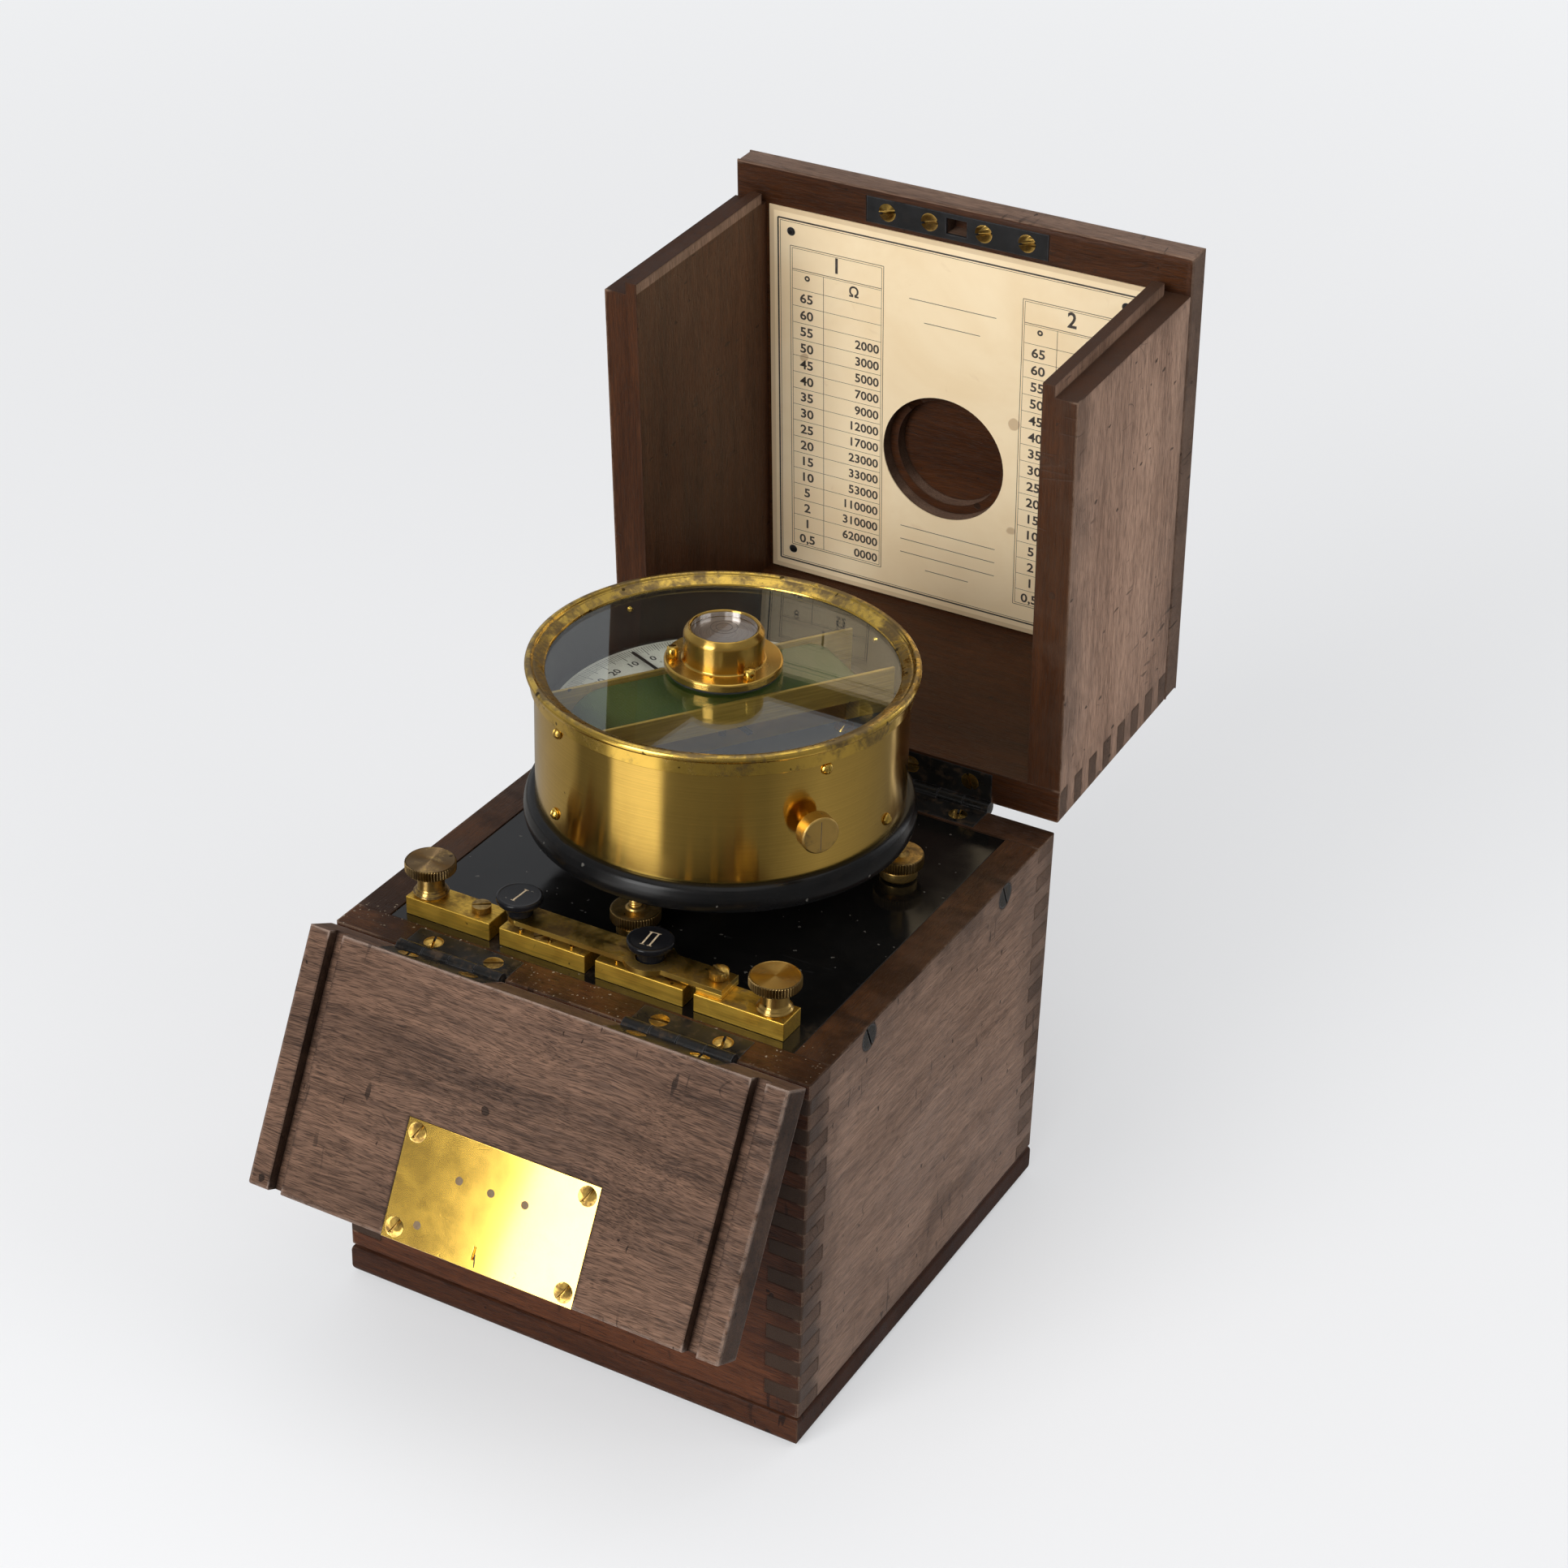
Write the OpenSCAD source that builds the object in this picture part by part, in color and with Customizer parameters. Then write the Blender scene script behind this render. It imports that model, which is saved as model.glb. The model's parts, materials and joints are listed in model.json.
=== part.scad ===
// Insulation tester of the early telegraph trade: a needle galvanometer and two press keys on an
// ebonite panel, in a finger-jointed wooden case with a hinged lid and a hinged front flap.
// Millimetres, +Z up. The origin is the middle of the case's underside; the front faces -Y.
// It is modelled as it stands in use, with the lid and the flap open.

/* [Pose] */
// How far the lid is turned back from shut, in degrees
lid_open = 86; // [60:1:100]
// How far the front flap is turned down from shut, in degrees
flap_open = 152.8; // [120:0.1:165]

/* [Case] */
// Width of the case
case_w = 160; // [150:1:180]
// Depth of the case, front to back
case_d = 158; // [152:1:180]
// Height of the case, floor to rim
case_h = 131; // [125:1:160]
// Thickness of the case boards
wall_t = 11.5; // [10.5:0.1:12.5]
// Thickness of the bottom board
bottom_t = 11.5; // [8:0.5:14]
// Wanted height of one finger of the corner joints
finger_h = 5.1; // [4:0.1:8]
// Rounding of the bottom board's long edges
bottom_r = 3; // [1:0.5:5]

/* [Panel] */
// Thickness of the ebonite panel
panel_t = 8; // [6:0.5:10]
// How far the panel lies below the rim
panel_drop = 0.3; // [0:0.1:1]
// Width of the battens under the panel
batten_w = 10; // [8:0.5:14]
// Height of the battens under the panel
batten_h = 12; // [8:0.5:16]
// Head diameter of the side wood screws
side_screw_d = 8; // [6:0.5:9]
// Distance of the side screws from the middle, along the side
side_screw_y = 44; // [30:1:52]

/* [Lid and flap] */
// Height of the shut lid above the rim
lid_h = 92.3; // [88:0.1:110]
// Thickness of the lid's top board
lid_board_t = 11.5; // [10.5:0.5:14]
// Rounding of the lid board's edges
lid_board_r = 2; // [1:0.5:3]
// Thickness of the flap
flap_t = 11.5; // [10.5:0.1:12]
// Thickness of the tongues on the lid's side boards
tongue_t = 4; // [3:0.1:5]
// Length of the tongues
tongue_l = 4; // [3:0.1:5]
// Width of the blind round recess in the lid board
recess_d = 44; // [38:1:50]
// Depth of the recess down to its ledge
recess_step = 4.5; // [3:0.5:6]
// Full depth of the recess
recess_depth = 9; // [7:0.5:10]
// Width of the ledge in the recess
recess_ledge = 3; // [1:0.5:5]
// Sideways place of the recess
recess_x = -2.8; // [-3.5:0.1:3.5]
// Distance of the recess from the front edge of the lid
recess_y = 89; // [84:0.5:90]

/* [Hinges] */
// Length of a hinge
hinge_l = 36; // [28:1:44]
// Width of a hinge leaf on the boards
leaf_w = 10.5; // [8:0.5:11]
// Thickness of a hinge leaf
leaf_t = 1.5; // [1:0.1:2]
// Radius of a knuckle
knuckle_r = 2.2; // [1.8:0.1:3]
// Radius of a hinge pin
pin_r = 0.9; // [0.6:0.1:1.2]
// Distance of the hinges from the middle
hinge_x = 38.5; // [30:0.5:50]
// How far the front hinge line stands in front of the case
front_out = 0.9; // [0.6:0.1:1.5]
// How far the rear hinge line stands behind the case
rear_out = 2.1; // [1.5:0.1:3]

/* [Lock] */
// Width of the lock plate
lock_w = 65; // [50:1:80]
// Height of the lock plate
lock_h = 36; // [28:1:44]
// Thickness of the lock plate
lock_plate_t = 1.2; // [0.8:0.1:1.6]
// Width of the lock bolt
bolt_w = 6; // [4:0.5:8]
// Travel of the lock bolt
bolt_throw = 4; // [2:0.5:5]
// Length of the strike plate on the lid
strike_l = 64; // [50:1:80]
// Width of the strike plate
strike_w = 9; // [7:0.5:10]

/* [Blocks and terminals] */
// Length of one brass block
block_l = 29.5; // [26:0.5:31]
// Width of the blocks, front to back
block_w = 10; // [8:0.5:12]
// Height of the blocks
block_h = 6; // [5:0.5:8]
// Gap between the blocks
block_gap = 3.4; // [2:0.1:4]
// Distance of the row of blocks behind the case's front face
row_y = 20; // [18.5:0.5:22]
// Distance of a terminal from the end of its block
terminal_in = 5.8; // [5:0.1:8]
// Radius of a terminal's knurled head
head_r = 7.7; // [6:0.1:8.2]
// Thickness of a terminal's knurled head
head_t = 3; // [2:0.1:4]
// Height of a terminal nut under its head
nut_h = 8; // [6:0.5:10]
// Radius of a terminal's stud
stud_r = 1.6; // [1.2:0.1:2]
// Rise of a terminal nut in one turn
stud_pitch = 0.75; // [0.5:0.05:1]

/* [Keys] */
// Width of the key levers
lever_w = 9.6; // [8:0.2:10]
// Thickness of the long lever of key I
lever_t = 1.6; // [1.2:0.1:2]
// Thickness of the spacer under the levers
spacer_t = 1.6; // [1.4:0.1:2]
// Length of the spacer under the levers
spacer_l = 8.4; // [7:0.1:10]
// Distance from the clamp's edge to button I
key1_reach = 62.5; // [50:0.5:66]
// Distance from the clamp's edge to button II
key2_reach = 18; // [15:0.5:22]
// Radius of the eye in lever I
eye_r = 7.9; // [7:0.1:9]
// Thickness of the leaf spring of key II
leaf2_t = 0.4; // [0.3:0.05:0.5]
// Radius of the buttons
button_r = 7; // [6:0.1:7.6]
// Thickness of the buttons
button_t = 2.5; // [2:0.1:3.5]
// Radius of the buttons' necks
neck_r = 4; // [3:0.1:4.4]
// Height of the buttons' necks above lever I
neck_h = 3.6; // [3:0.1:5]

/* [Galvanometer] */
// Sideways place of the galvanometer's axis
drum_x = 1; // [-2:0.5:3]
// Distance of the axis behind the case's front face
drum_y = 86; // [84:0.5:88]
// Radius of the ebonite base disc
base_r = 59.3; // [57:0.1:60]
// Thickness of the base disc
base_t = 8.5; // [7:0.5:10]
// Height of the base disc's underside above the rim
base_up = 20; // [18:0.5:22]
// Outer radius of the drum
drum_r = 55.7; // [54:0.1:56]
// Height of the drum
drum_h = 40.5; // [38:0.5:42]
// Wall thickness of the drum and the bezel
drum_t = 1.2; // [0.8:0.1:1.6]
// Outer radius of the bezel's lip
bezel_r = 58.5; // [57.5:0.1:59]
// Radius of the glass that shows inside the bezel
glass_r = 52.4; // [51:0.1:53]
// Thickness of the cover glass
glass_t = 2; // [1.5:0.1:2.5]
// Radius of the levelling screws' knurled discs
foot_r = 7.6; // [6:0.1:8]
// Thickness of those discs
foot_t = 4.1; // [3:0.1:5]
// Distance of the two rear levelling screws from the axis
foot_rear = 54.5; // [50:0.5:55]
// Distance of the front levelling screw from the axis
foot_front = 44; // [42:0.5:46]
// Radius of the thread of a levelling screw
foot_thread_r = 2; // [1.5:0.1:2.5]

/* [Movement] */
// Direction of the coil's long side, in degrees from +X
coil_turn = 56; // [50:1:62]
// Length of the coil's cheek plates
cheek_l = 100; // [92:1:102]
// Height of the cheek plates
cheek_h = 27; // [24:0.5:29]
// Thickness of the cheek plates
cheek_t = 1; // [0.6:0.1:1.4]
// Distance between the cheek plates
coil_w = 26; // [22:0.5:28]
// Straight length of the coil between its round ends
coil_straight = 66; // [60:1:68]
// Length of the opening in the coil
window_l = 77; // [66:1:78]
// Height of the opening in the coil
window_h = 10; // [9:0.5:11]
// Loops of wire in the outer layer of the coil
coil_loops = 24; // [16:1:24]
// Diameter of the covered wire
wire_d = 0.6; // [0.4:0.05:0.6]
// Height of the inner floor plate's top above the rim
plate_up = 49.6; // [48:0.1:51]
// Thickness of the inner floor plate
plate_t = 1.6; // [1:0.1:2]
// Outer radius of the scale
scale_r = 51.5; // [48:0.5:52.5]
// Width of the scale
scale_w = 15; // [12:0.5:17]
// Angle over which the scale runs, in degrees
scale_arc = 140; // [110:1:150]
// Reach of the pointer from its axis
pointer_l = 47; // [44:0.5:49]
// Direction of the pointer at rest, in degrees from +X
pointer_turn = 156; // [130:1:170]
// Length of the needle magnet
magnet_l = 44; // [30:1:52]
// Radius of the arrest stem
arrest_r = 1.2; // [0.8:0.1:1.4]
// Radius of the arrest knob
arrest_knob_r = 5.8; // [4.5:0.1:6.5]

/* [Spirit level] */
// Radius of the level's flange
level_r = 17.6; // [16.5:0.1:19]
// Radius of the level's cup
cup_r = 12; // [11:0.1:12.6]
// Height of the level above the cover glass
level_h = 13.6; // [12:0.1:15]
// Radius of the level's glass
level_glass_r = 9.8; // [8:0.1:10]

/* [Battery and bobbins] */
// Diameter of a dry cell
cell_d = 42; // [36:0.5:44]
// Height of a dry cell's can
cell_h = 74; // [60:1:76]
// Cells in each direction
cell_n = 3; // [2:1:3]
// Radius of a resistance bobbin
bobbin_r = 9; // [7:0.5:11]
// Length of a resistance bobbin
bobbin_h = 15; // [12:0.5:16]

/* [Hidden] */

// Running fit of pins and stems in their holes, on the radius
run_fit = 0.08;
// Clearance of screws and studs in their holes, on the radius
screw_fit = 0.05;
// Clearance of parts that are dropped into place
drop_fit = 0.2;
// Gap between the rim and the shut lid or flap
shut_gap = 0.4;
// Gap over the shut flap, which its inner edge needs when it swings out under the shut lid
flap_gap = 1.1;
// Clearance of the tongues in their grooves
tongue_fit = 0.3;

front_y = -case_d / 2;
back_y = case_d / 2;
rim_z = case_h;
hinge_z = rim_z + shut_gap / 2;
front_pivot_y = front_y - front_out;
rear_pivot_y = back_y + rear_out;
hinge_place = [-hinge_x, hinge_x];
knuckle_n = 4;
knuckle_l = hinge_l / knuckle_n;
knuckle_gap = 0.2;

// Wood screws: head, shank and slot
screw_head_r = 3;
screw_shank_r = 1.3;
screw_l = 9;
slot_w = 0.8;

inner_w = case_w - 2 * wall_t;
inner_d = case_d - 2 * wall_t;
panel_z = rim_z - panel_drop;
panel_y0 = front_y + wall_t;
batten_z = panel_z - panel_t - batten_h;
// The battens start behind the terminals' nuts
batten_y0 = front_y + row_y + 8;

lid_base = rim_z + shut_gap;
lid_ceiling = rim_z + lid_h - lid_board_t;
flap_h = lid_ceiling - lid_base - flap_gap;
groove_x = case_w / 2 - wall_t;
groove_w = tongue_t + 2 * tongue_fit;
card_t = 0.4;
card_margin = 1.3;
nail_in = 8;

block_top = panel_z + block_h;
row_x = -1;
row_l = 4 * block_l + 3 * block_gap;
function block_x(i) = row_x - row_l / 2 + block_l / 2 + i * (block_l + block_gap);
block_y = front_y + row_y;
terminal_x = [block_x(0) - block_l / 2 + terminal_in, block_x(3) + block_l / 2 - terminal_in];
washer_t = 0.8;
washer_r = 4.5;
stud_drop = 9;
stud_up = washer_t + nut_h + head_t - 2;
stud_nut_r = 3.6;
stud_nut_t = 2.4;

// The keys bend about the inner edge of the spacer on the right block
key_y = block_y + 1;
bend_x = block_x(3) - block_l / 2 + 0.2;
lever_z = block_top + spacer_t;
lever_end = 48 - case_w / 2;
clamp_x = bend_x + spacer_l / 2;
clamp_y = key_y + 1;
clamp_head_r = 2.9;
clamp_head_t = 2.4;
clamp_lift = 0.15;
leaf2_w = 7;
leaf2_tail = 2.3;
leaf2_rise = 0.8;
leaf2_ramp = 8.3;
eye_hole_r = neck_r + 0.45;
button1_x = bend_x - key1_reach;
button2_x = bend_x - key2_reach;
button_z = lever_z + lever_t + neck_h;

axis_y = front_y + drum_y;
base_z = rim_z + base_up;
floor_z = base_z + base_t;
drum_top = floor_z + drum_h;
glass_z = drum_top - glass_t;
plate_z = rim_z + plate_up;
coil_z = plate_z - plate_t / 2 + 1.2;
needle_z = plate_z + 1.4;
inner_r = drum_r - drum_t;
foot_hub_r = 5.8;
foot_hub_t = 4.3;
foot_rear_turn = 26.5;
arrest_turn = coil_turn - 90;
arrest_z = plate_z - plate_t - arrest_r - 0.4;
bore_depth = 6.5;

eps = 0.01;

$fn = 64;

// A board with rounded long edges: the common part of two rounded bars
module rounded_board(w, d, t, r) {
  intersection() {
    translate([-w / 2 - 1, 0, 0]) rotate([90, 0, 90]) linear_extrude(w + 2) round_rect(-d / 2, d / 2, 0, t, r);
    translate([0, d / 2 + 1, 0]) rotate([90, 0, 0]) linear_extrude(d + 2) round_rect(-w / 2, w / 2, 0, t, r);
  }
}

// A rectangle with round corners between two pairs of limits
module round_rect(x0, x1, y0, y1, r) {
  translate([x0 + r, y0]) square([x1 - x0 - 2 * r, y1 - y0]);
  translate([x0, y0 + r]) square([x1 - x0, y1 - y0 - 2 * r]);
  for (x = [x0 + r, x1 - r])
    for (y = [y0 + r, y1 - r])
      translate([x, y]) circle(r, $fn = 32);
}

// A straight-knurled disc: a tooth for every 0.8 mm of its edge
module knurled(r, t) {
  n = floor(2 * PI * r / 0.8);
  depth = 0.25;
  linear_extrude(t)
    polygon([for (i = [0 : 2 * n - 1])
      let (q = r - (i % 2) * depth)
      [q * cos(i * 180 / n), q * sin(i * 180 / n)]]);
}

// A countersunk slotted screw whose head is flush with z = 0
module wood_screw(head_r = screw_head_r, shank_r = screw_shank_r, l = screw_l, turn = 0) {
  head_t = head_r - shank_r;
  difference() {
    union() {
      translate([0, 0, -head_t]) cylinder(r1 = shank_r, r2 = head_r, h = head_t, $fn = 32);
      translate([0, 0, -l]) cylinder(r = shank_r, h = l - head_t, $fn = 32);
    }
    rotate([0, 0, turn]) translate([-head_r, -slot_w / 2, -head_t / 2]) cube([2 * head_r, slot_w, head_t]);
  }
}

// The hole for such a screw, with its clearance all round
module wood_screw_hole(head_r = screw_head_r, shank_r = screw_shank_r, l = screw_l) {
  r = shank_r + screw_fit;
  big = head_r + screw_fit;
  translate([0, 0, -(big - r)]) cylinder(r1 = r, r2 = big + 1, h = big - r + 1, $fn = 32);
  translate([0, 0, -l - screw_fit]) cylinder(r = r, h = l, $fn = 32);
}

// A cheese-headed slotted screw that stands on z = 0
module cheese_screw(head_r, head_t, shank_r, l, turn = 0) {
  difference() {
    union() {
      cylinder(r = head_r, h = head_t, $fn = 32);
      translate([0, 0, -l]) cylinder(r = shank_r, h = l + eps, $fn = 32);
    }
    rotate([0, 0, turn]) translate([-head_r - 1, -slot_w / 2, head_t / 2]) cube([2 * head_r + 2, slot_w, head_t]);
  }
}

// Turns a shut lid or flap about its hinge line into its open pose
module in_lid() {
  translate([0, rear_pivot_y, hinge_z]) rotate([-lid_open, 0, 0]) translate([0, -rear_pivot_y, -hinge_z]) children();
}

module in_flap() {
  translate([0, front_pivot_y, hinge_z]) rotate([flap_open, 0, 0]) translate([0, -front_pivot_y, -hinge_z]) children();
}

// The finger joint at one vertical corner: slots between z0 and z1 for every second finger
module finger_slots(x, y, z0, z1, first) {
  n = 2 * floor((z1 - z0) / finger_h / 2) + 1;
  h = (z1 - z0) / n;
  for (k = [first : 2 : n - 1])
    translate([x, y, z0 + k * h - (k == 0 ? 1 : 0)])
      cube([wall_t + 1, wall_t + 1, h + (k == 0 ? 1 : 0) + (k == n - 1 ? 1 : 0)]);
}

// A case or lid board that runs across, with slots at both ends
module cross_board(y0, z0, z1) {
  difference() {
    translate([-case_w / 2, y0, z0]) cube([case_w, wall_t, z1 - z0]);
    finger_slots(-case_w / 2 - 1, y0 - 0.5, z0, z1, 1);
    finger_slots(case_w / 2 - wall_t, y0 - 0.5, z0, z1, 1);
  }
}

// Hinges

// Relief for the knuckles along the edges of the boards
module knuckle_relief(y) {
  for (x = hinge_place)
    translate([x - hinge_l / 2 - 0.2, y, hinge_z]) rotate([0, 90, 0]) cylinder(r = knuckle_r + 0.3, h = hinge_l + 0.4);
}

// Pockets for the leaves: side is 1 for the leaves under the hinge line and -1 for those above
module leaf_pockets(y, inward, side) {
  for (x = hinge_place)
    translate([x - hinge_l / 2, inward > 0 ? y - 3 : y - leaf_w, side > 0 ? rim_z - leaf_t : lid_base])
      translate([0, 0, side > 0 ? 0 : -1]) cube([hinge_l, leaf_w + 3, leaf_t + 1]);
}

// One row of leaves with their knuckles, for the hinge line at y
module leaves(y, pivot_y, inward, side, first) {
  z = side > 0 ? rim_z - leaf_t : lid_base;
  for (x = hinge_place)
    difference() {
      union() {
        difference() {
          translate([x - hinge_l / 2, inward > 0 ? pivot_y : y - leaf_w, z])
            cube([hinge_l, leaf_w + abs(pivot_y - y), leaf_t]);
          translate([x - hinge_l / 2 - 1, pivot_y, hinge_z]) rotate([0, 90, 0])
            cylinder(r = knuckle_r + 0.25, h = hinge_l + 2);
        }
        for (k = [first : 2 : knuckle_n - 1])
          knuckle(x - hinge_l / 2 + k * knuckle_l + knuckle_gap / 2, pivot_y, inward, side, z);
      }
      if (first == 0)
        translate([x - hinge_l / 2 - 1, pivot_y, hinge_z]) rotate([0, 90, 0]) cylinder(r = pin_r + run_fit, h = hinge_l + 2);
      for (s = [-1, 1]) leaf_screw_at(x, s, y, inward, side) wood_screw_hole();
    }
}

// The pins are staked into the knuckles of the case's leaves, one solid with them
module staked_pins(pivot_y) {
  for (x = hinge_place)
    translate([x - hinge_l / 2, pivot_y, hinge_z]) rotate([0, 90, 0]) cylinder(r = pin_r, h = hinge_l);
}

module knuckle(x, pivot_y, inward, side, z) {
  l = knuckle_l - knuckle_gap;
  translate([x, pivot_y, hinge_z]) rotate([0, 90, 0]) cylinder(r = knuckle_r, h = l);
  translate([x, inward > 0 ? pivot_y : pivot_y - knuckle_r - 1, z]) cube([l, knuckle_r + 1, leaf_t]);
}

// Places what follows at a leaf screw, head outwards from the leaf
module leaf_screw_at(x, s, y, inward, side) {
  translate([x + s * hinge_l * 0.29, y + inward * leaf_w * 0.55, side > 0 ? rim_z : lid_base])
    rotate([side > 0 ? 0 : 180, 0, 0]) children();
}

module leaf_screws(y, inward, side) {
  for (x = hinge_place)
    for (s = [-1, 1]) leaf_screw_at(x, s, y, inward, side) wood_screw(turn = 20 + 50 * s + x);
}

module leaf_screw_holes(y, inward, side) {
  for (x = hinge_place)
    for (s = [-1, 1]) leaf_screw_at(x, s, y, inward, side) wood_screw_hole();
}

module hinge_leaves_case() {
  color("#1c1c1e") {
    leaves(front_y, front_pivot_y, 1, 1, 1);
    leaves(back_y, rear_pivot_y, -1, 1, 1);
    staked_pins(front_pivot_y);
    staked_pins(rear_pivot_y);
  }
}

module hinge_leaves_flap() {
  color("#1c1c1e") in_flap() leaves(front_y, front_pivot_y, 1, -1, 0);
}

module hinge_leaves_lid() {
  color("#1c1c1e") in_lid() leaves(back_y, rear_pivot_y, -1, -1, 0);
}

module hinge_screws_case() {
  color("goldenrod") leaf_screws(front_y, 1, 1);
  color("goldenrod") leaf_screws(back_y, -1, 1);
}

// Case

module case_front() {
  color("#5a3424") difference() {
    cross_board(front_y, bottom_t, rim_z);
    leaf_pockets(front_y, 1, 1);
    knuckle_relief(front_pivot_y);
    leaf_screw_holes(front_y, 1, 1);
  }
}

module case_back() {
  color("#5a3424") difference() {
    cross_board(back_y - wall_t, bottom_t, rim_z);
    leaf_pockets(back_y, -1, 1);
    knuckle_relief(rear_pivot_y);
    leaf_screw_holes(back_y, -1, 1);
  }
}

module side_board(s) {
  x0 = s > 0 ? case_w / 2 - wall_t : -case_w / 2;
  difference() {
    translate([x0, front_y, bottom_t]) cube([wall_t, case_d, rim_z - bottom_t]);
    finger_slots(x0 - 0.5, front_y - 1, bottom_t, rim_z, 0);
    finger_slots(x0 - 0.5, back_y - wall_t, bottom_t, rim_z, 0);
    side_screws_at(s) wood_screw_hole(side_screw_d / 2, 2, 20);
  }
}

module side_screws_at(s) {
  for (y = [-side_screw_y, side_screw_y])
    translate([s * case_w / 2, y, panel_z - panel_t / 2]) rotate([0, s * 90, 0]) children();
}

module case_left() {
  color("#5a3424") side_board(-1);
}

module case_right() {
  color("#5a3424") side_board(1);
}

module side_screws() {
  color("#3a2f28")
    for (s = [-1, 1]) side_screws_at(s) wood_screw(side_screw_d / 2, 2, 20, 25);
}

module bottom_board() {
  color("#4d2c20") rounded_board(case_w, case_d, bottom_t, bottom_r);
}

module panel_battens() {
  color("#6b4a35")
    for (s = [-1, 1])
      translate([s > 0 ? inner_w / 2 - batten_w : -inner_w / 2, batten_y0, batten_z])
        cube([batten_w, back_y - wall_t - batten_y0, batten_h]);
}

module panel() {
  color("#151517") difference() {
    translate([-inner_w / 2 + drop_fit, panel_y0 + drop_fit, panel_z - panel_t])
      cube([inner_w - 2 * drop_fit, inner_d - 2 * drop_fit, panel_t]);
    for (s = [-1, 1]) side_screws_at(s) wood_screw_hole(side_screw_d / 2, 2, 20);
    for (x = terminal_x) translate([x, block_y, panel_z - panel_t - 1]) cylinder(r = stud_r + screw_fit, h = panel_t + 2);
    for (p = row_screw_places) translate([p[0], p[1], panel_z - row_screw_grip]) cylinder(r = row_screw_r + screw_fit, h = panel_t);
    at_axis() translate([0, 0, panel_z - panel_t - 1]) cylinder(r = centre_bolt_r + screw_fit, h = panel_t + 2);
    for (s = [-1, 1]) translate([s * bobbin_x, bobbin_y, panel_z - panel_t - eps]) cylinder(r = bobbin_screw_r + screw_fit, h = 5);
  }
}

// Lid

module lid_side(s) {
  x0 = s > 0 ? case_w / 2 - wall_t : -case_w / 2;
  tongue_x = s > 0 ? x0 : x0 + wall_t - tongue_t;
  y0 = front_y + flap_t + shut_gap;
  difference() {
    union() {
      translate([x0, y0, lid_base]) cube([wall_t, back_y - y0, lid_ceiling - lid_base]);
      translate([tongue_x, y0 - tongue_l, lid_base]) cube([tongue_t, tongue_l + eps, lid_ceiling - lid_base - 3]);
    }
    finger_slots(x0 - 0.5, back_y - wall_t, lid_base, lid_ceiling, 0);
  }
}

module lid_left() {
  color("#5a3424") in_lid() lid_side(-1);
}

module lid_right() {
  color("#5a3424") in_lid() lid_side(1);
}

module lid_back() {
  color("#5a3424") in_lid() difference() {
    cross_board(back_y - wall_t, lid_base, lid_ceiling);
    leaf_pockets(back_y, -1, -1);
    knuckle_relief(rear_pivot_y);
    leaf_screw_holes(back_y, -1, -1);
  }
}

strike_t = 1.2;
strike_slot = 5.4;
strike_y = front_y + 2 + strike_w / 2;
strike_screw_x = [-24.5, -9.5, 9.5, 24.5];

module lid_board() {
  color("#5a3424") in_lid() difference() {
    translate([0, 0, lid_ceiling]) rounded_board(case_w, case_d, lid_board_t, lid_board_r);
    translate([recess_x, front_y + recess_y, lid_ceiling - 1]) cylinder(d = recess_d, h = recess_step + 1);
    translate([recess_x, front_y + recess_y, lid_ceiling]) cylinder(d = recess_d - 2 * recess_ledge, h = recess_depth);
    translate([-strike_l / 2, strike_y - strike_w / 2, lid_ceiling - 1]) cube([strike_l, strike_w, strike_t + 1]);
    translate([-bolt_w / 2 - 0.6, strike_y - strike_slot / 2, lid_ceiling]) cube([bolt_w + 1.2, strike_slot, bolt_throw + 2.5]);
    strike_screws_at() wood_screw_hole();
    nails_at() translate([0, 0, -1]) cylinder(r = nail_r + screw_fit, h = nail_l + 1);
  }
}

module strike_screws_at() {
  for (f = strike_screw_x)
    translate([f * strike_l / 64, strike_y, lid_ceiling]) rotate([180, 0, 0]) children();
}

module strike_plate() {
  color("#1b1b1c") in_lid() difference() {
    translate([-strike_l / 2 + 0.1, strike_y - strike_w / 2 + 0.1, lid_ceiling]) cube([strike_l - 0.2, strike_w - 0.2, strike_t]);
    translate([-bolt_w / 2 - 0.6, strike_y - strike_slot / 2, lid_ceiling - 1]) cube([bolt_w + 1.2, strike_slot, strike_t + 2]);
    strike_screws_at() wood_screw_hole();
  }
}

module lid_screws() {
  color("goldenrod") in_lid() {
    leaf_screws(back_y, -1, -1);
    strike_screws_at() wood_screw(turn = 15);
  }
}

nail_r = 0.5;
nail_l = 6;
card_x = inner_w / 2 - card_margin;
card_y0 = front_y + flap_t + card_margin / 2;
card_y1 = back_y - wall_t - card_margin / 2;

module nails_at() {
  for (x = [-card_x + nail_in, card_x - nail_in])
    for (y = [card_y0 + nail_in, card_y1 - nail_in])
      translate([x, y, lid_ceiling]) children();
}

module chart_card() {
  color("#e6d2a4") in_lid() difference() {
    translate([-card_x, card_y0, lid_ceiling - card_t]) cube([2 * card_x, card_y1 - card_y0, card_t]);
    translate([recess_x, front_y + recess_y, lid_ceiling - 1]) cylinder(d = recess_d, h = 2);
    nails_at() translate([0, 0, -1]) cylinder(r = nail_r + screw_fit, h = 2);
  }
}

module card_nails() {
  color("#161514") in_lid() nails_at() {
    translate([0, 0, -card_t]) cylinder(r = nail_r, h = nail_l + card_t);
    translate([0, 0, -card_t - 0.6]) cylinder(r1 = 0.9, r2 = 1.5, h = 0.6, $fn = 24);
  }
}

// Flap and lock

lock_x = 0;
flap_top = lid_base + flap_h;
lock_top = flap_top;
lock_case_w = lock_w * 0.72;
lock_case_h = lock_h * 0.8;
lock_case_t = 6.5;
lock_inner_y = front_y + flap_t;
lock_bolt_y = strike_y;
bolt_t = 3;
lock_screw_in = 3.8;

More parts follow.
